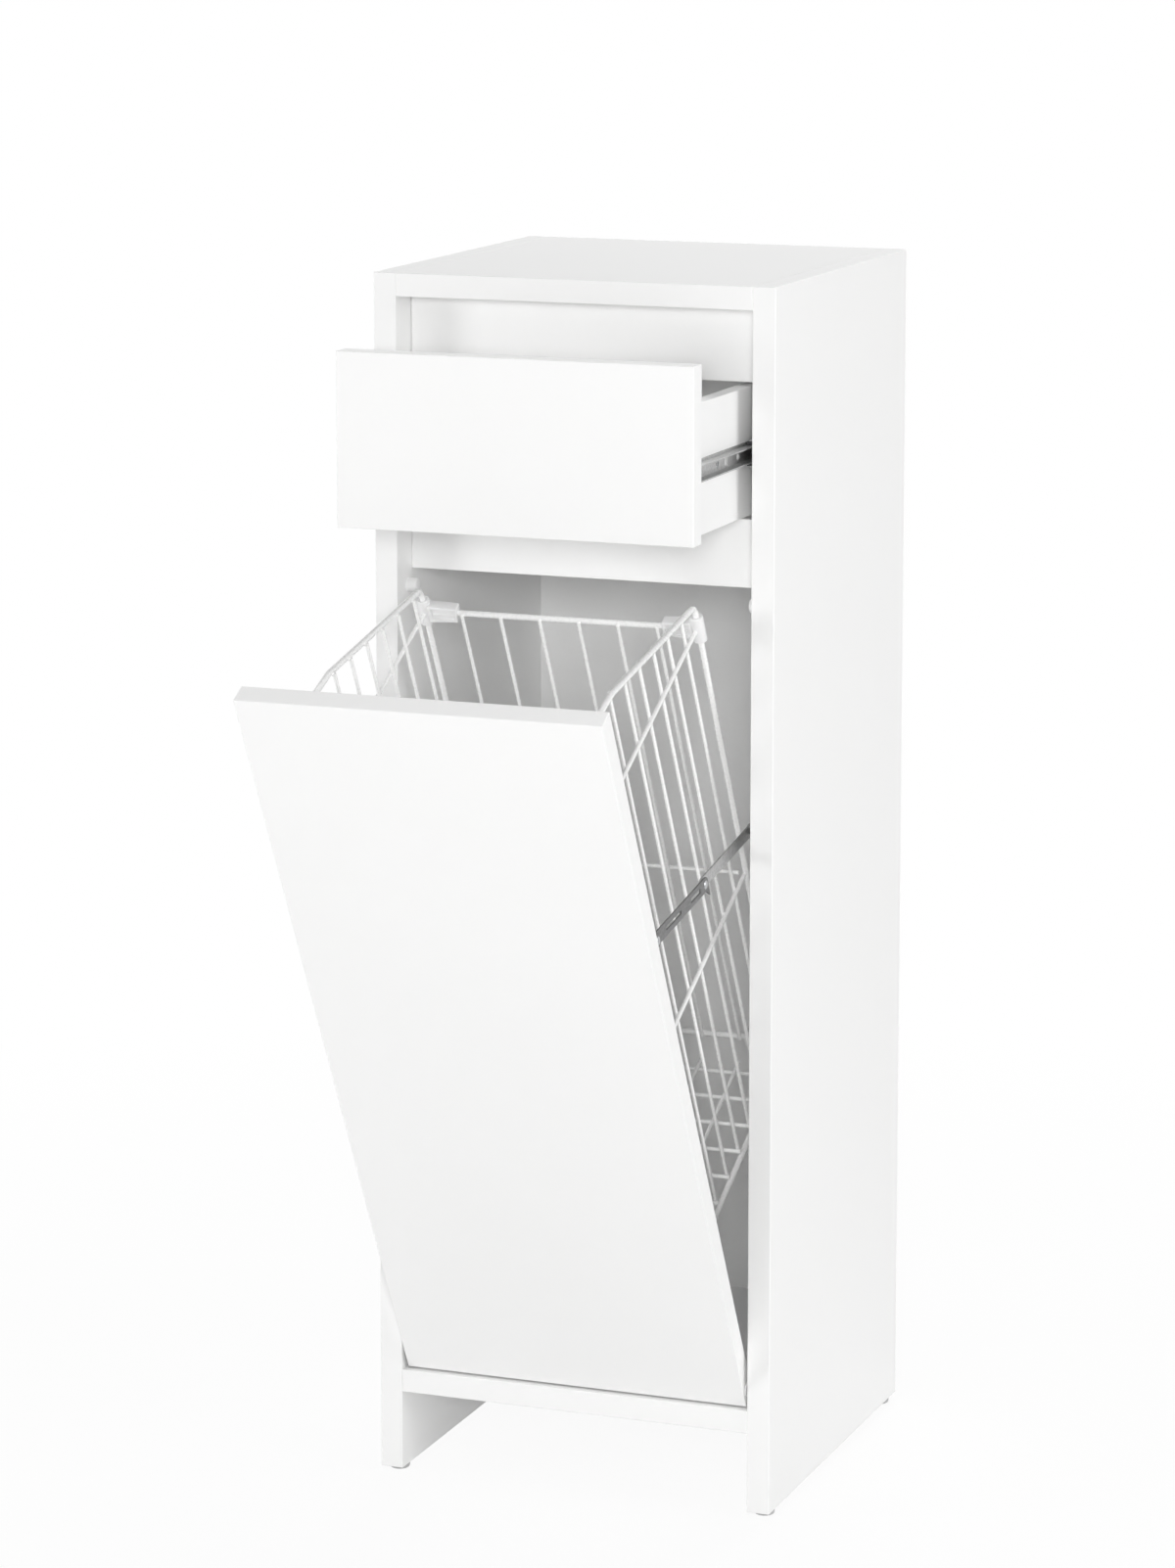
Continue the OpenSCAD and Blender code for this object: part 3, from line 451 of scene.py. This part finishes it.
def present(mesh, name, body, slot_name, hides, material=None):
    mesh.materials.clear()
    mesh.materials.append(material or FINISH[slot_name])
    mesh.polygons.foreach_set("material_index", [0] * len(mesh.polygons))
    mesh.shade_smooth()
    mesh.set_sharp_from_angle(angle=math.radians(SHARP_DEGREES))
    piece = bpy.data.objects.new(name, mesh)
    bpy.context.scene.collection.objects.link(piece)
    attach(piece, body)
    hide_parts(*hides)
    return piece


def round_edges(piece, width, steps=3):
    rounding = piece.modifiers.new("rounded_edges", "BEVEL")
    rounding.limit_method = "WEIGHT"
    rounding.width = width / 1000
    rounding.segments = steps
    rounding.use_clamp_overlap = False
    shading = piece.modifiers.new("even_shading", "WEIGHTED_NORMAL")
    shading.keep_sharp = True
    shading.weight = 100


# %% [markdown]
# ## Boards
# A board from the CAD has knife-sharp edges, which no real board has. The foil is folded
# round the long outer edges, so these are rounded by less than a millimetre and the holes
# for the fittings are left alone. An edge is outer when it lies in two sides of the box
# around its board. The rails' ends are eased more, which draws the fine dark line where a
# rail meets a side panel.

# %% Boards with rounded outer edges
TOUCH = 1e-5


def outer_edge(work):
    low = Vector([min(v.co[i] for v in work.verts) for i in range(3)])
    high = Vector([max(v.co[i] for v in work.verts) for i in range(3)])

    def on(edge, i, side):
        return all(abs(v.co[i] - side[i]) < TOUCH for v in edge.verts)

    def chosen(edge):
        held = sum(on(edge, i, low) or on(edge, i, high) for i in range(3))
        return held >= 2
    return chosen


def rail_end(work):
    outer = outer_edge(work)

    def chosen(edge):
        a, b = (v.co for v in edge.verts)
        upright = abs(a.x - b.x) < TOUCH and abs(a.y - b.y) < TOUCH
        return outer(edge) * (1.0 if upright else 0.35)
    return chosen


def board(name, body, home=STILL, width=0.7, edges=outer_edge):
    mesh, work = clean_copy(name, home)
    weigh(work, edges(work))
    work.to_mesh(mesh)
    work.free()
    mesh.transform(home)
    round_edges(present(mesh, name + "_board", body, "white_board", (name,)), width)


for name in ("left_side_panel", "right_side_panel", "top_panel", "bottom_panel"):
    board(name, "carcass")
for name in ("upper_rail", "lower_rail"):
    board(name, "carcass", width=2.2, edges=rail_end)
for name in ("drawer_front", "drawer_left_side", "drawer_right_side", "drawer_back"):
    board(name, "drawer", width=0.8 if name == "drawer_front" else 0.5)
board("door_panel", "hamper_door", SWING, 0.8)

# %% [markdown]
# ## Fittings cut from plate and strip
# The runners, stays and brackets are pressed from thin steel. Their CAD shapes are right,
# so they are copied too, and every sharp edge gets a small radius like the one that a
# punch leaves. The moulded saddles on the door get a larger one.

# %% Pressed and moulded pieces
PUNCHED = math.radians(50)


def sharp_edge(edge):
    return len(edge.link_faces) == 2 and edge.calc_face_angle(0.0) > PUNCHED


def pressed(name, body, slot_name, home=STILL, width=0.2, material=None):
    mesh, work = clean_copy(name, home)
    weigh(work, sharp_edge)
    work.to_mesh(mesh)
    work.free()
    mesh.transform(home)
    piece = present(mesh, name + "_finished", body, slot_name, (name,), material)
    round_edges(piece, width, 2)


for side in ("left", "right"):
    pressed(side + "_runner_rail", "carcass", "zinc_steel")
    pressed(side + "_runner_slide", "drawer", "zinc_steel")
    pressed(side + "_stay_upper_link", side + "_upper_link", "zinc_steel")
    for name, body, home in ((side + "_stay_wall_plate", "carcass", STILL),
                             (side + "_stay_door_bracket", "hamper_door", SWING),
                             (side + "_stay_lower_link", side + "_lower_link", STILL)):
        pressed(name, body, "zinc_steel", home, material=stay_steel)
pressed("runner_end_stops", "carcass", "black_plastic", width=0.3)
pressed("basket_door_clips", "hamper_door", "white_plastic", SWING, 0.8)

# %% [markdown]
# ## Bent wire with Geometry Nodes
# A basket grid is wires of a few gauges: straight ones, and a frame bent round its corners.
# The script only draws each wire as a line of points. The tree turns the lines into curves,
# fillets their corners, sweeps a circle along them and puts a bead of weld where wires
# cross. One tree makes all five grids.

# %% The bent wire tree


def add_input(tree, name, kind):
    return tree.interface.new_socket(name, in_out="INPUT", socket_type="NodeSocket" + kind)


def set_inputs(modifier, **values):
    for item in modifier.node_group.interface.items_tree:
        if item.item_type == "SOCKET" and item.in_out == "INPUT":
            key = item.name.lower().replace(" ", "_")
            if key in values:
                modifier[item.identifier] = values[key]


def bent_wire_tree():
    tree = bpy.data.node_groups.new("bent_wire", "GeometryNodeTree")
    for name, kind in (("Lines", "Geometry"), ("Bend Radius", "Float"),
                       ("Bend Steps", "Int"), ("Sides", "Int"), ("Coat", "Material")):
        add_input(tree, name, kind)
    tree.interface.new_socket("Wire", in_out="OUTPUT", socket_type="NodeSocketGeometry")
    link = tree.links.new
    given = node(tree, "NodeGroupInput")
    gauge = node(tree, "GeometryNodeInputNamedAttribute", data_type="FLOAT")
    gauge.inputs["Name"].default_value = "gauge"
    bead = node(tree, "GeometryNodeInputNamedAttribute", data_type="FLOAT")
    bead.inputs["Name"].default_value = "bead"
    curves = node(tree, "GeometryNodeMeshToCurve")
    bends = node(tree, "GeometryNodeFilletCurve", mode="POLY")
    circle = node(tree, "GeometryNodeCurvePrimitiveCircle")
    circle.inputs["Radius"].default_value = 1
    sweep = node(tree, "GeometryNodeCurveToMesh")
    sweep.inputs["Fill Caps"].default_value = True
    link(given.outputs["Lines"], curves.inputs["Mesh"])
    link(curves.outputs["Curve"], bends.inputs["Curve"])
    link(given.outputs["Bend Steps"], bends.inputs["Count"])
    link(given.outputs["Bend Radius"], bends.inputs["Radius"])
    bends.inputs["Limit Radius"].default_value = True
    link(bends.outputs["Curve"], sweep.inputs["Curve"])
    link(given.outputs["Sides"], circle.inputs["Resolution"])
    link(circle.outputs["Curve"], sweep.inputs["Profile Curve"])
    link(gauge.outputs["Attribute"], sweep.inputs["Scale"])
    ball = node(tree, "GeometryNodeMeshIcoSphere")
    ball.inputs["Radius"].default_value = 1
    ball.inputs["Subdivisions"].default_value = 2
    drops = node(tree, "GeometryNodeInstanceOnPoints")
    welded = node(tree, "FunctionNodeCompare", operation="GREATER_THAN")
    link(bead.outputs["Attribute"], welded.inputs["A"])
    link(given.outputs["Lines"], drops.inputs["Points"])
    link(welded.outputs["Result"], drops.inputs["Selection"])
    link(ball.outputs["Mesh"], drops.inputs["Instance"])
    link(bead.outputs["Attribute"], drops.inputs["Scale"])
    both = node(tree, "GeometryNodeJoinGeometry")
    link(sweep.outputs["Mesh"], both.inputs[0])
    link(drops.outputs["Instances"], both.inputs[0])
    real = node(tree, "GeometryNodeRealizeInstances")
    coat = node(tree, "GeometryNodeSetMaterial")
    link(both.outputs[0], real.inputs[0])
    link(real.outputs[0], coat.inputs["Geometry"])
    link(given.outputs["Coat"], coat.inputs["Material"])
    link(coat.outputs[0], node(tree, "NodeGroupOutput").inputs[0])
    return tree


BENT_WIRE = bent_wire_tree()


def bake(mesh, tree, home=STILL, **values):
    source = bpy.data.objects.new("source", mesh)
    bpy.context.scene.collection.objects.link(source)
    grow = source.modifiers.new("grow", "NODES")
    grow.node_group = tree
    set_inputs(grow, **values)
    bpy.context.view_layer.update()
    graph = bpy.context.evaluated_depsgraph_get()
    made = bpy.data.meshes.new_from_object(source.evaluated_get(graph), depsgraph=graph)
    bpy.data.objects.remove(source)
    made.transform(home)
    return made


print("tree", BENT_WIRE.name, "nodes", len(BENT_WIRE.nodes))

# %% [markdown]
# ## The laundry basket
# Five welded grids make the basket: two sides with a bent frame of 5 mm wire, a front, a
# rear and a loose floor. Thin uprights sit inside the rings. A line is a list of places
# with its gauge, and each crossing gets a small bead.

# %% Lines of the five grids


def draw_lines(wires, beads):
    mesh = bpy.data.meshes.new("lines")
    points, edges, gauges, sizes = [], [], [], []
    for places, gauge, closed in wires:
        first = len(points)
        points += [at(*p) for p in places]
        edges += [(first + i, first + i + 1) for i in range(len(places) - 1)]
        if closed:
            edges.append((len(points) - 1, first))
        gauges += [gauge / 2000] * len(places)
        sizes += [0.0] * len(places)
    for place, size in beads:
        points.append(at(*place))
        gauges.append(0.0)
        sizes.append(size / 2000)
    mesh.from_pydata(points, edges, [])
    for name, values in (("gauge", gauges), ("bead", sizes)):
        mesh.attributes.new(name, "FLOAT", "POINT").data.foreach_set("value", values)
    return mesh


HALF, FORE, REAR = 116, 27, 273
BEND_Y = 95
LOW, FLOOR_WIRE = 245, 222
RIM = [(FORE, FLOOR_WIRE), (FORE, 753.2), (BEND_Y, 747.8), (REAR, 695.8),
       (REAR, FLOOR_WIRE)]
RINGS = (674.8, 426)
FRAME_WIRE, RING_WIRE, THIN_WIRE = 5, 3.5, 3
RING_IN, THIN_IN = (FRAME_WIRE - RING_WIRE) / 2, 3.6
LANES = [-HALF + i * 2 * HALF / 7 for i in range(1, 7)]
UPRIGHTS = [36 + 30.75 * k for k in range(1, 8)]


def rim_z(y):
    (y0, z0), (y1, z1) = (RIM[1], RIM[2]) if y < BEND_Y else (RIM[2], RIM[3])
    return z0 + (z1 - z0) * (y - y0) / (y1 - y0)


def side_grid(s):
    side, ring, upright = s * HALF, s * (HALF - RING_IN), s * (HALF - THIN_IN)
    wires = [([(side, y, z) for y, z in RIM], FRAME_WIRE, True)]
    wires += [([(ring, FORE, z), (ring, REAR, z)], RING_WIRE, False) for z in RINGS]
    beads = []
    for y in UPRIGHTS:
        ends = [(upright, y, FLOOR_WIRE), (upright, y, rim_z(y) - 0.4)]
        wires.append((ends, THIN_WIRE, False))
        beads += [((s * (HALF - 2.3), y, z), 3.4)
                  for z in (*RINGS, FLOOR_WIRE + 0.5, rim_z(y) - 1.2)]
    return draw_lines(wires, beads)


def cross_grid(y, inward):
    end, ring, thin = HALF - 6, y + inward * RING_IN, y + inward * THIN_IN
    wires = [([(-end, y, z), (end, y, z)], FRAME_WIRE, False) for z in (RINGS[0], LOW)]
    wires.append(([(-end, ring, RINGS[1]), (end, ring, RINGS[1])], RING_WIRE, False))
    beads = []
    for x in LANES:
        wires.append(([(x, thin, LOW), (x, thin, RINGS[0])], THIN_WIRE, False))
        beads += [((x, y + inward * 2.4, z), 3.6) for z in (*RINGS, LOW)]
    return draw_lines(wires, beads)


def floor_grid():
    rows = [y - 3.3 for y in UPRIGHTS]
    under, weld, over = 226.35, 227.9, 229.2
    wires = [([(-HALF, y, under), (HALF, y, under)], RING_WIRE, False) for y in rows]
    wires += [([(x, 53.2, over), (x, 258.2, over)], THIN_WIRE, False) for x in LANES]
    return draw_lines(wires, [((x, y, weld), 3.4) for x in LANES for y in rows])


GRIDS = {"basket_left_panel": side_grid(-1), "basket_right_panel": side_grid(1),
         "basket_rear_panel": cross_grid(REAR, -1),
         "basket_front_panel": cross_grid(FORE, 1), "basket_bottom_panel": floor_grid()}
for name, lines in GRIDS.items():
    grid = bake(lines, BENT_WIRE, SWING, bend_radius=0.0095, bend_steps=7, sides=16,
                coat=FINISH["white_wire"])
    present(grid, name + "_wires", "hamper_door", "white_wire", (name,))
    print(name, "faces", len(grid.polygons))

# %% [markdown]
# ## Turned and moulded small parts
# Screw heads, rivets, glides and pegs are round, so each starts as a profile that is turned
# about an axis. A cross recess is then sunk in a screw's head. Every part is drawn once,
# standing at the origin with its head up, and a second tree sets copies of it in place.

# %% Turn a profile


def turned(profile, sides=24):
    work = bmesh.new()
    rings = []
    for radius, height in profile:
        if radius == 0:
            rings.append([work.verts.new((0, 0, height / 1000))])
        else:
            rings.append([work.verts.new((radius / 1000 * math.cos(a), radius / 1000
                                          * math.sin(a), height / 1000))
                          for a in (2 * math.pi * k / sides for k in range(sides))])
    for low, high in zip(rings, rings[1:]):
        for k in range(sides):
            a, b = low[k % len(low)], low[(k + 1) % len(low)]
            c, d = high[(k + 1) % len(high)], high[k % len(high)]
            corners = [v for i, v in enumerate((a, b, c, d)) if v not in (a, b, c, d)[:i]]
            if len(corners) > 2:
                work.faces.new(corners)
    return work


def part(name, work, smooth=SHARP_DEGREES):
    bmesh.ops.recalc_face_normals(work, faces=work.faces)
    mesh = bpy.data.meshes.new(name)
    work.to_mesh(mesh)
    work.free()
    mesh.shade_smooth()
    mesh.set_sharp_from_angle(angle=math.radians(smooth))
    return mesh


CROSS_WIDTH, CROSS_SLOT, CROSS_TAPER = 3.4, 0.9, 0.62


def cross_recess(work, height, depth):
    def on_top(v):
        return abs(v.co.z - height / 1000) < TOUCH

    def on_axis(v):
        return v.co.xy.length < TOUCH

    top = [f for f in work.faces if all(on_top(v) for v in f.verts)]
    ring = {v for f in top for v in f.verts if not on_axis(v)}
    bmesh.ops.delete(work, geom=top, context="FACES_ONLY")
    for v in [v for v in work.verts if on_axis(v) and on_top(v)]:
        work.verts.remove(v)
    w, s = CROSS_WIDTH / 2000, CROSS_SLOT / 2000
    plan = [(w, -s), (w, s), (s, s), (s, w), (-s, w), (-s, s), (-w, s), (-w, -s), (-s, -s),
            (-s, -w), (s, -w), (s, -s)]
    brim = [work.verts.new((x, y, height / 1000)) for x, y in plan]
    sunk = [work.verts.new((x * CROSS_TAPER, y * CROSS_TAPER, (height - depth) / 1000))
            for x, y in plan]
    edges = []
    for k in range(12):
        n = (k + 1) % 12
        edges.append(work.edges.new((brim[k], brim[n])))
        work.faces.new((brim[k], brim[n], sunk[n], sunk[k]))
    work.faces.new(sunk)
    rim = [e for e in work.edges if e.verts[0] in ring and e.verts[1] in ring
           and len(e.link_faces) == 1]
    bmesh.ops.triangle_fill(work, edges=rim + edges, use_beauty=True, use_dissolve=False)
    return work


SHANK, THREAD_PITCH = 1.5, 1.2


def screw(name, head, length):
    profile = [(0, -length), (0.35, -length + 0.2)]
    for k in range(int((length - 2) / THREAD_PITCH)):
        z = -length + 1.6 + k * THREAD_PITCH
        crest = SHANK * min(1.0, 0.55 + 0.15 * k)
        profile += [(crest * 0.68, z - 0.4), (crest, z)]
    profile += [(SHANK * 0.8, -0.2)] + head
    height = head[-1][1]
    return part(name, cross_recess(turned(profile, 20), height, min(1.0, height * 0.8)))


print("turned parts ready")

# %% [markdown]
# ## Setting parts in place
# The second tree takes points that each carry an `outward` direction. It stands a copy of a
# part on every point, turns its head to face outward and gives each screw its own spin, as
# a driver leaves it. The seed is fixed, so the same spins come back on every run.

# %% The placing tree


def placing_tree():
    tree = bpy.data.node_groups.new("set_in_place", "GeometryNodeTree")
    for name, kind in (("Points", "Geometry"), ("Part", "Object"), ("Spin", "Float"),
                       ("Seed", "Int"), ("Metal", "Material")):
        add_input(tree, name, kind)
    tree.interface.new_socket("Parts", in_out="OUTPUT", socket_type="NodeSocketGeometry")
    link = tree.links.new
    given = node(tree, "NodeGroupInput")
    outward = node(tree, "GeometryNodeInputNamedAttribute", data_type="FLOAT_VECTOR")
    outward.inputs["Name"].default_value = "outward"
    face = node(tree, "FunctionNodeAlignRotationToVector", axis="Z")
    link(outward.outputs["Attribute"], face.inputs["Vector"])
    chance = node(tree, "FunctionNodeRandomValue", data_type="FLOAT")
    link(given.outputs["Seed"], chance.inputs["Seed"])
    link(given.outputs["Spin"], chance.inputs[3])
    about = node(tree, "FunctionNodeAxisAngleToRotation")
    link(chance.outputs[1], about.inputs["Angle"])
    twist = node(tree, "FunctionNodeRotateRotation", rotation_space="LOCAL")
    link(face.outputs[0], twist.inputs["Rotation"])
    link(about.outputs[0], twist.inputs["Rotate By"])
    part_info = node(tree, "GeometryNodeObjectInfo")
    link(given.outputs["Part"], part_info.inputs["Object"])
    stand = node(tree, "GeometryNodeInstanceOnPoints")
    link(given.outputs["Points"], stand.inputs["Points"])
    link(part_info.outputs["Geometry"], stand.inputs["Instance"])
    link(twist.outputs[0], stand.inputs["Rotation"])
    real = node(tree, "GeometryNodeRealizeInstances")
    coat = node(tree, "GeometryNodeSetMaterial")
    link(stand.outputs[0], real.inputs[0])
    link(real.outputs[0], coat.inputs["Geometry"])
    link(given.outputs["Metal"], coat.inputs["Material"])
    link(coat.outputs[0], node(tree, "NodeGroupOutput").inputs[0])
    return tree


PLACING = placing_tree()


def points_with(places):
    mesh = bpy.data.meshes.new("points")
    mesh.from_pydata([at(*p) for p, _ in places], [], [])
    flat = [c for _, d in places for c in d]
    mesh.attributes.new("outward", "FLOAT_VECTOR", "POINT").data.foreach_set("vector", flat)
    return mesh


FULL_TURN = 6.28


def place(name, shape, places, body, slot_name, hides, home=STILL, spin=FULL_TURN, seed=1,
          material=None):
    model = bpy.data.objects.new("model", shape)
    bpy.context.scene.collection.objects.link(model)
    made = bake(points_with(places), PLACING, home, part=model, spin=spin, seed=seed,
                metal=FINISH[slot_name])
    bpy.data.objects.remove(model)
    print(name, "copies", len(places), "faces", len(made.polygons))
    present(made, name, body, slot_name, hides, material)


def both_sides(places):
    return [((s * x, y, z), (s * dx, dy, dz)) for (x, y, z), (dx, dy, dz) in places
            for s in (1, -1)]


# %% [markdown]
# ## Screws
# The runners, wall plates and drawer back have chipboard screws with low flat heads, which
# leave room for the parts that slide or turn past them. The door's back has pan heads,
# since nothing passes there. One helper draws each screw once, and the places say which way
# its head looks.

# %% Screws of the runners, stays and drawer
IN, OUTWARD, BACK = (-1, 0, 0), (1, 0, 0), (0, 1, 0)
PANEL, DRAWER_SIDE, RUNNER_Z = 151, 138.3, 866
STUD_Y, STUD_Z, BRACKET_Z = 38, 559, 563
flat_head = [(2.98, 0.02), (2.98, 1.02), (2.9, 1.1)]
place("runner_rail_screw_set", screw("rail_screw", flat_head, 10.9),
      both_sides([((PANEL, y, RUNNER_Z), IN) for y in (48, 148, 248)]), "carcass",
      "screw_steel", ("runner_rail_screws",), seed=3)
place("runner_slide_screw_set", screw("slide_screw", flat_head, 8.9),
      both_sides([((DRAWER_SIDE, y, RUNNER_Z), OUTWARD) for y in (78, 160, 240)]), "drawer",
      "screw_steel", ("runner_slide_screws",), PULL, seed=5)
place("stay_wall_screw_set", screw("plate_screw", [(2.98, 0.02), (2.98, 1.3), (2.8, 1.45)],
                                   10.9),
      both_sides([((PANEL, STUD_Y, STUD_Z + s * 14), IN) for s in (-1, 1)]), "carcass",
      "screw_steel", ("stay_wall_screws",), seed=7)
place("drawer_back_screw_set", screw("long_screw", [(2.98, 0.02), (2.98, 1.8), (2.8, 1.95)],
                                     28),
      both_sides([((136.3, 282, z), OUTWARD) for z in (837, 896)]), "drawer",
      "screw_steel", ("drawer_back_screws",), PULL, seed=9)

# %% Pan heads on the door's back
pan_head = [(2.9, 0), (3.0, 0.25), (2.9, 0.8), (2.5, 1.25), (2.0, 1.55)]
place("stay_bracket_screw_set", screw("pan_screw", pan_head, 12.4),
      both_sides([((127.5, 19.5, BRACKET_Z + s * 10), BACK) for s in (-1, 1)]),
      "hamper_door", "screw_steel", ("stay_bracket_screws",), SWING, seed=11)
place("basket_clip_screw_set", screw("saddle_screw", pan_head, 22.9),
      both_sides([((HALF + 10, 30, z), BACK) for z in (271, 731.2)]), "hamper_door",
      "screw_steel", ("basket_clip_screws",), SWING, seed=13)

# %% [markdown]
# ## Rivets, balls, glides and door stops
# The stay turns on domed rivets. The runner's balls roll in pairs of rows. The glides are
# nailed under the side panels, and two white pegs stop the closed door. All are turned
# profiles set in place by the same tree.

# %% Rivets of the stays
rivet = part("rivet", turned([(0, -4.5), (1.9, -4.42), (3.0, -4.1), (3.5, -3.6), (2, -3.6),
                              (2, 0), (3.5, 0), (3.0, 0.5), (1.9, 0.82), (0, 0.9)]))
place("stay_bracket_rivet_pair", rivet, both_sides([((143, 29, BRACKET_Z), OUTWARD)]),
      "hamper_door", "screw_steel", ("stay_bracket_rivets",), SWING, seed=15)
middle = part("middle", turned([(0, -2.7), (1.8, -2.7), (2, -2.5), (2, 0), (3.5, 0),
                                (3.0, 0.5), (1.9, 0.82), (0, 0.9)]))
for side, s in (("left", -1), ("right", 1)):
    place(side + "_middle_rivet_head", middle.copy(),
          [((s * 141, -75.38, 538.86), (s, 0, 0))], side + "_lower_link", "screw_steel",
          (side + "_stay_middle_rivet",), seed=17)

# %% Balls, glides and door stops
ball = bmesh.new()
bmesh.ops.create_icosphere(ball, subdivisions=3, radius=0.0015)
ball = part("ball", ball, 180)
for side, s in (("left", -1), ("right", 1)):
    row = [((s * 145, 134 + 11 * i, RUNNER_Z + t * 8.2), (0, 0, 1)) for i in range(5)
           for t in (-1, 1)]
    place(side + "_runner_ball_set", ball.copy(), row, side + "_cage", "ball_steel",
          (side + "_runner_balls",), ROLL, seed=19)
glide = part("glide", turned([(0, -11), (0.4, -10.6), (1.5, -9), (1.5, 0), (8.2, 0),
                              (8.5, 0.4), (8.4, 3.2), (7.9, 4.3), (7, 4.9), (5.6, 5),
                              (2.8, 5), (2.5, 4.3), (0, 4.2)], 40))
# The glides get the mid grey plastic, painted shade for the shade under the cabinet.
place("floor_glide_set", glide,
      both_sides([((160.5, y, 5), (0, 0, -1)) for y in (17, 321)]), "carcass",
      "white_plastic", ("floor_glides",), seed=21, material=worn_plastic)
peg = part("peg", turned([(0, -11), (2.2, -10.9), (2.95, -10), (2.95, 0), (5.9, 0),
                          (6, 0.4), (6, 7), (5.6, 8.2), (4.7, 8.8), (2.5, 9), (0, 9)], 40))
place("door_stop_pegs", peg, both_sides([((PANEL, 24.1, 744), IN)]), "carcass",
      "white_plastic", ("door_stops",), seed=23)

# %% [markdown]
# ## Corner clips
# A nylon clip grips each corner of the basket: a slightly tapered bar lies along the cross
# wire and a sleeve wraps the side's upright. The bar is cored out from both faces, which
# leaves ribs, as moulded parts are. The clip looks the same from both ends, so one drawing
# serves all eight corners. Its pieces are joined in a fresh bmesh, which keeps their faces
# in the same order on every run.

# %% One corner clip, drawn lying along its own axis


def moulded_bar(outline, half, rounding, core, depth):
    work = bmesh.new()
    near = [work.verts.new((x / 1000, -half / 1000, z / 1000)) for x, z in outline]
    far = [work.verts.new((x / 1000, half / 1000, z / 1000)) for x, z in outline]
    broad = [work.faces.new(near), work.faces.new(far[::-1])]
    for k in range(len(outline)):
        n = (k + 1) % len(outline)
        work.faces.new((near[n], near[k], far[k], far[n]))
    bmesh.ops.recalc_face_normals(work, faces=work.faces)
    rim = list(work.edges)
    bmesh.ops.inset_individual(work, faces=broad, thickness=core / 1000,
                               depth=0, use_even_offset=True)
    bmesh.ops.inset_individual(work, faces=broad, thickness=0.0004, depth=-depth / 1000,
                               use_even_offset=True)
    bmesh.ops.bevel(work, geom=[e for e in rim if e.is_valid], offset=rounding / 1000,
                    segments=3, profile=0.5, affect="EDGES")
    return work


def corner_clip():
    bar = moulded_bar([(-6.6, -28.8), (-8, -4), (8, -4), (6.6, -28.8)], 5, 1.2, 2.4, 1.3)
    sleeve = turned([(2.6, -11.2), (4.7, -11.8), (5.4, -11.1), (5.5, -8), (5.5, 8),
                     (5.4, 11.1), (4.7, 11.8), (2.6, 11.2), (2.6, -11.2)], 32)
    bmesh.ops.remove_doubles(sleeve, verts=sleeve.verts, dist=SAME_PLACE)
    lying = Matrix.Rotation(math.pi / 2, 3, "Y")
    bmesh.ops.rotate(sleeve, verts=sleeve.verts, matrix=lying)
    ribs = moulded_bar([(-1, -26), (-1, -8), (1, -8), (1, -26)], 4.6, 0.3, 0.4, 0.1)
    clip = bmesh.new()
    for drawn in (bar, sleeve, ribs):
        mesh = bpy.data.meshes.new("drawn")
        drawn.to_mesh(mesh)
        drawn.free()
        clip.from_mesh(mesh)
    return part("clip", clip, 40)


place("basket_corner_clip_set", corner_clip(),
      [((s * HALF, y, z), (s, 0, 0)) for s in (1, -1) for y in (FORE, REAR)
       for z in (RINGS[0], LOW)],
      "hamper_door", "white_plastic", ("basket_corner_clips",), SWING, spin=0.0)

# %% [markdown]
# ## Pieces that keep their CAD shape
# The back panel, the drawer bottom, the cam fittings, the dowels, the pins and the ball
# cages already have the right shape and sharp edges that nobody sees. They keep it and get
# a finish: the table below gives each node's slot.

# %% Finishes for the remaining CAD nodes
SLOT_OF = {"back_panel": "thin_board", "drawer_bottom": "thin_board",
           "cam_housings": "cast_zinc", "cam_bolts": "screw_steel",
           "wood_dowels": "beech", "drawer_dowels": "beech",
           "door_pivot_pins": "screw_steel", "door_pivot_bushes": "white_plastic",
           "left_ball_cage": "zinc_steel", "right_ball_cage": "zinc_steel"}
for name, slot_name in SLOT_OF.items():
    material = beech_along_y if name == "drawer_dowels" else FINISH[slot_name]
    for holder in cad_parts[name].material_slots:
        holder.material = material
print("CAD nodes kept", len(SLOT_OF))
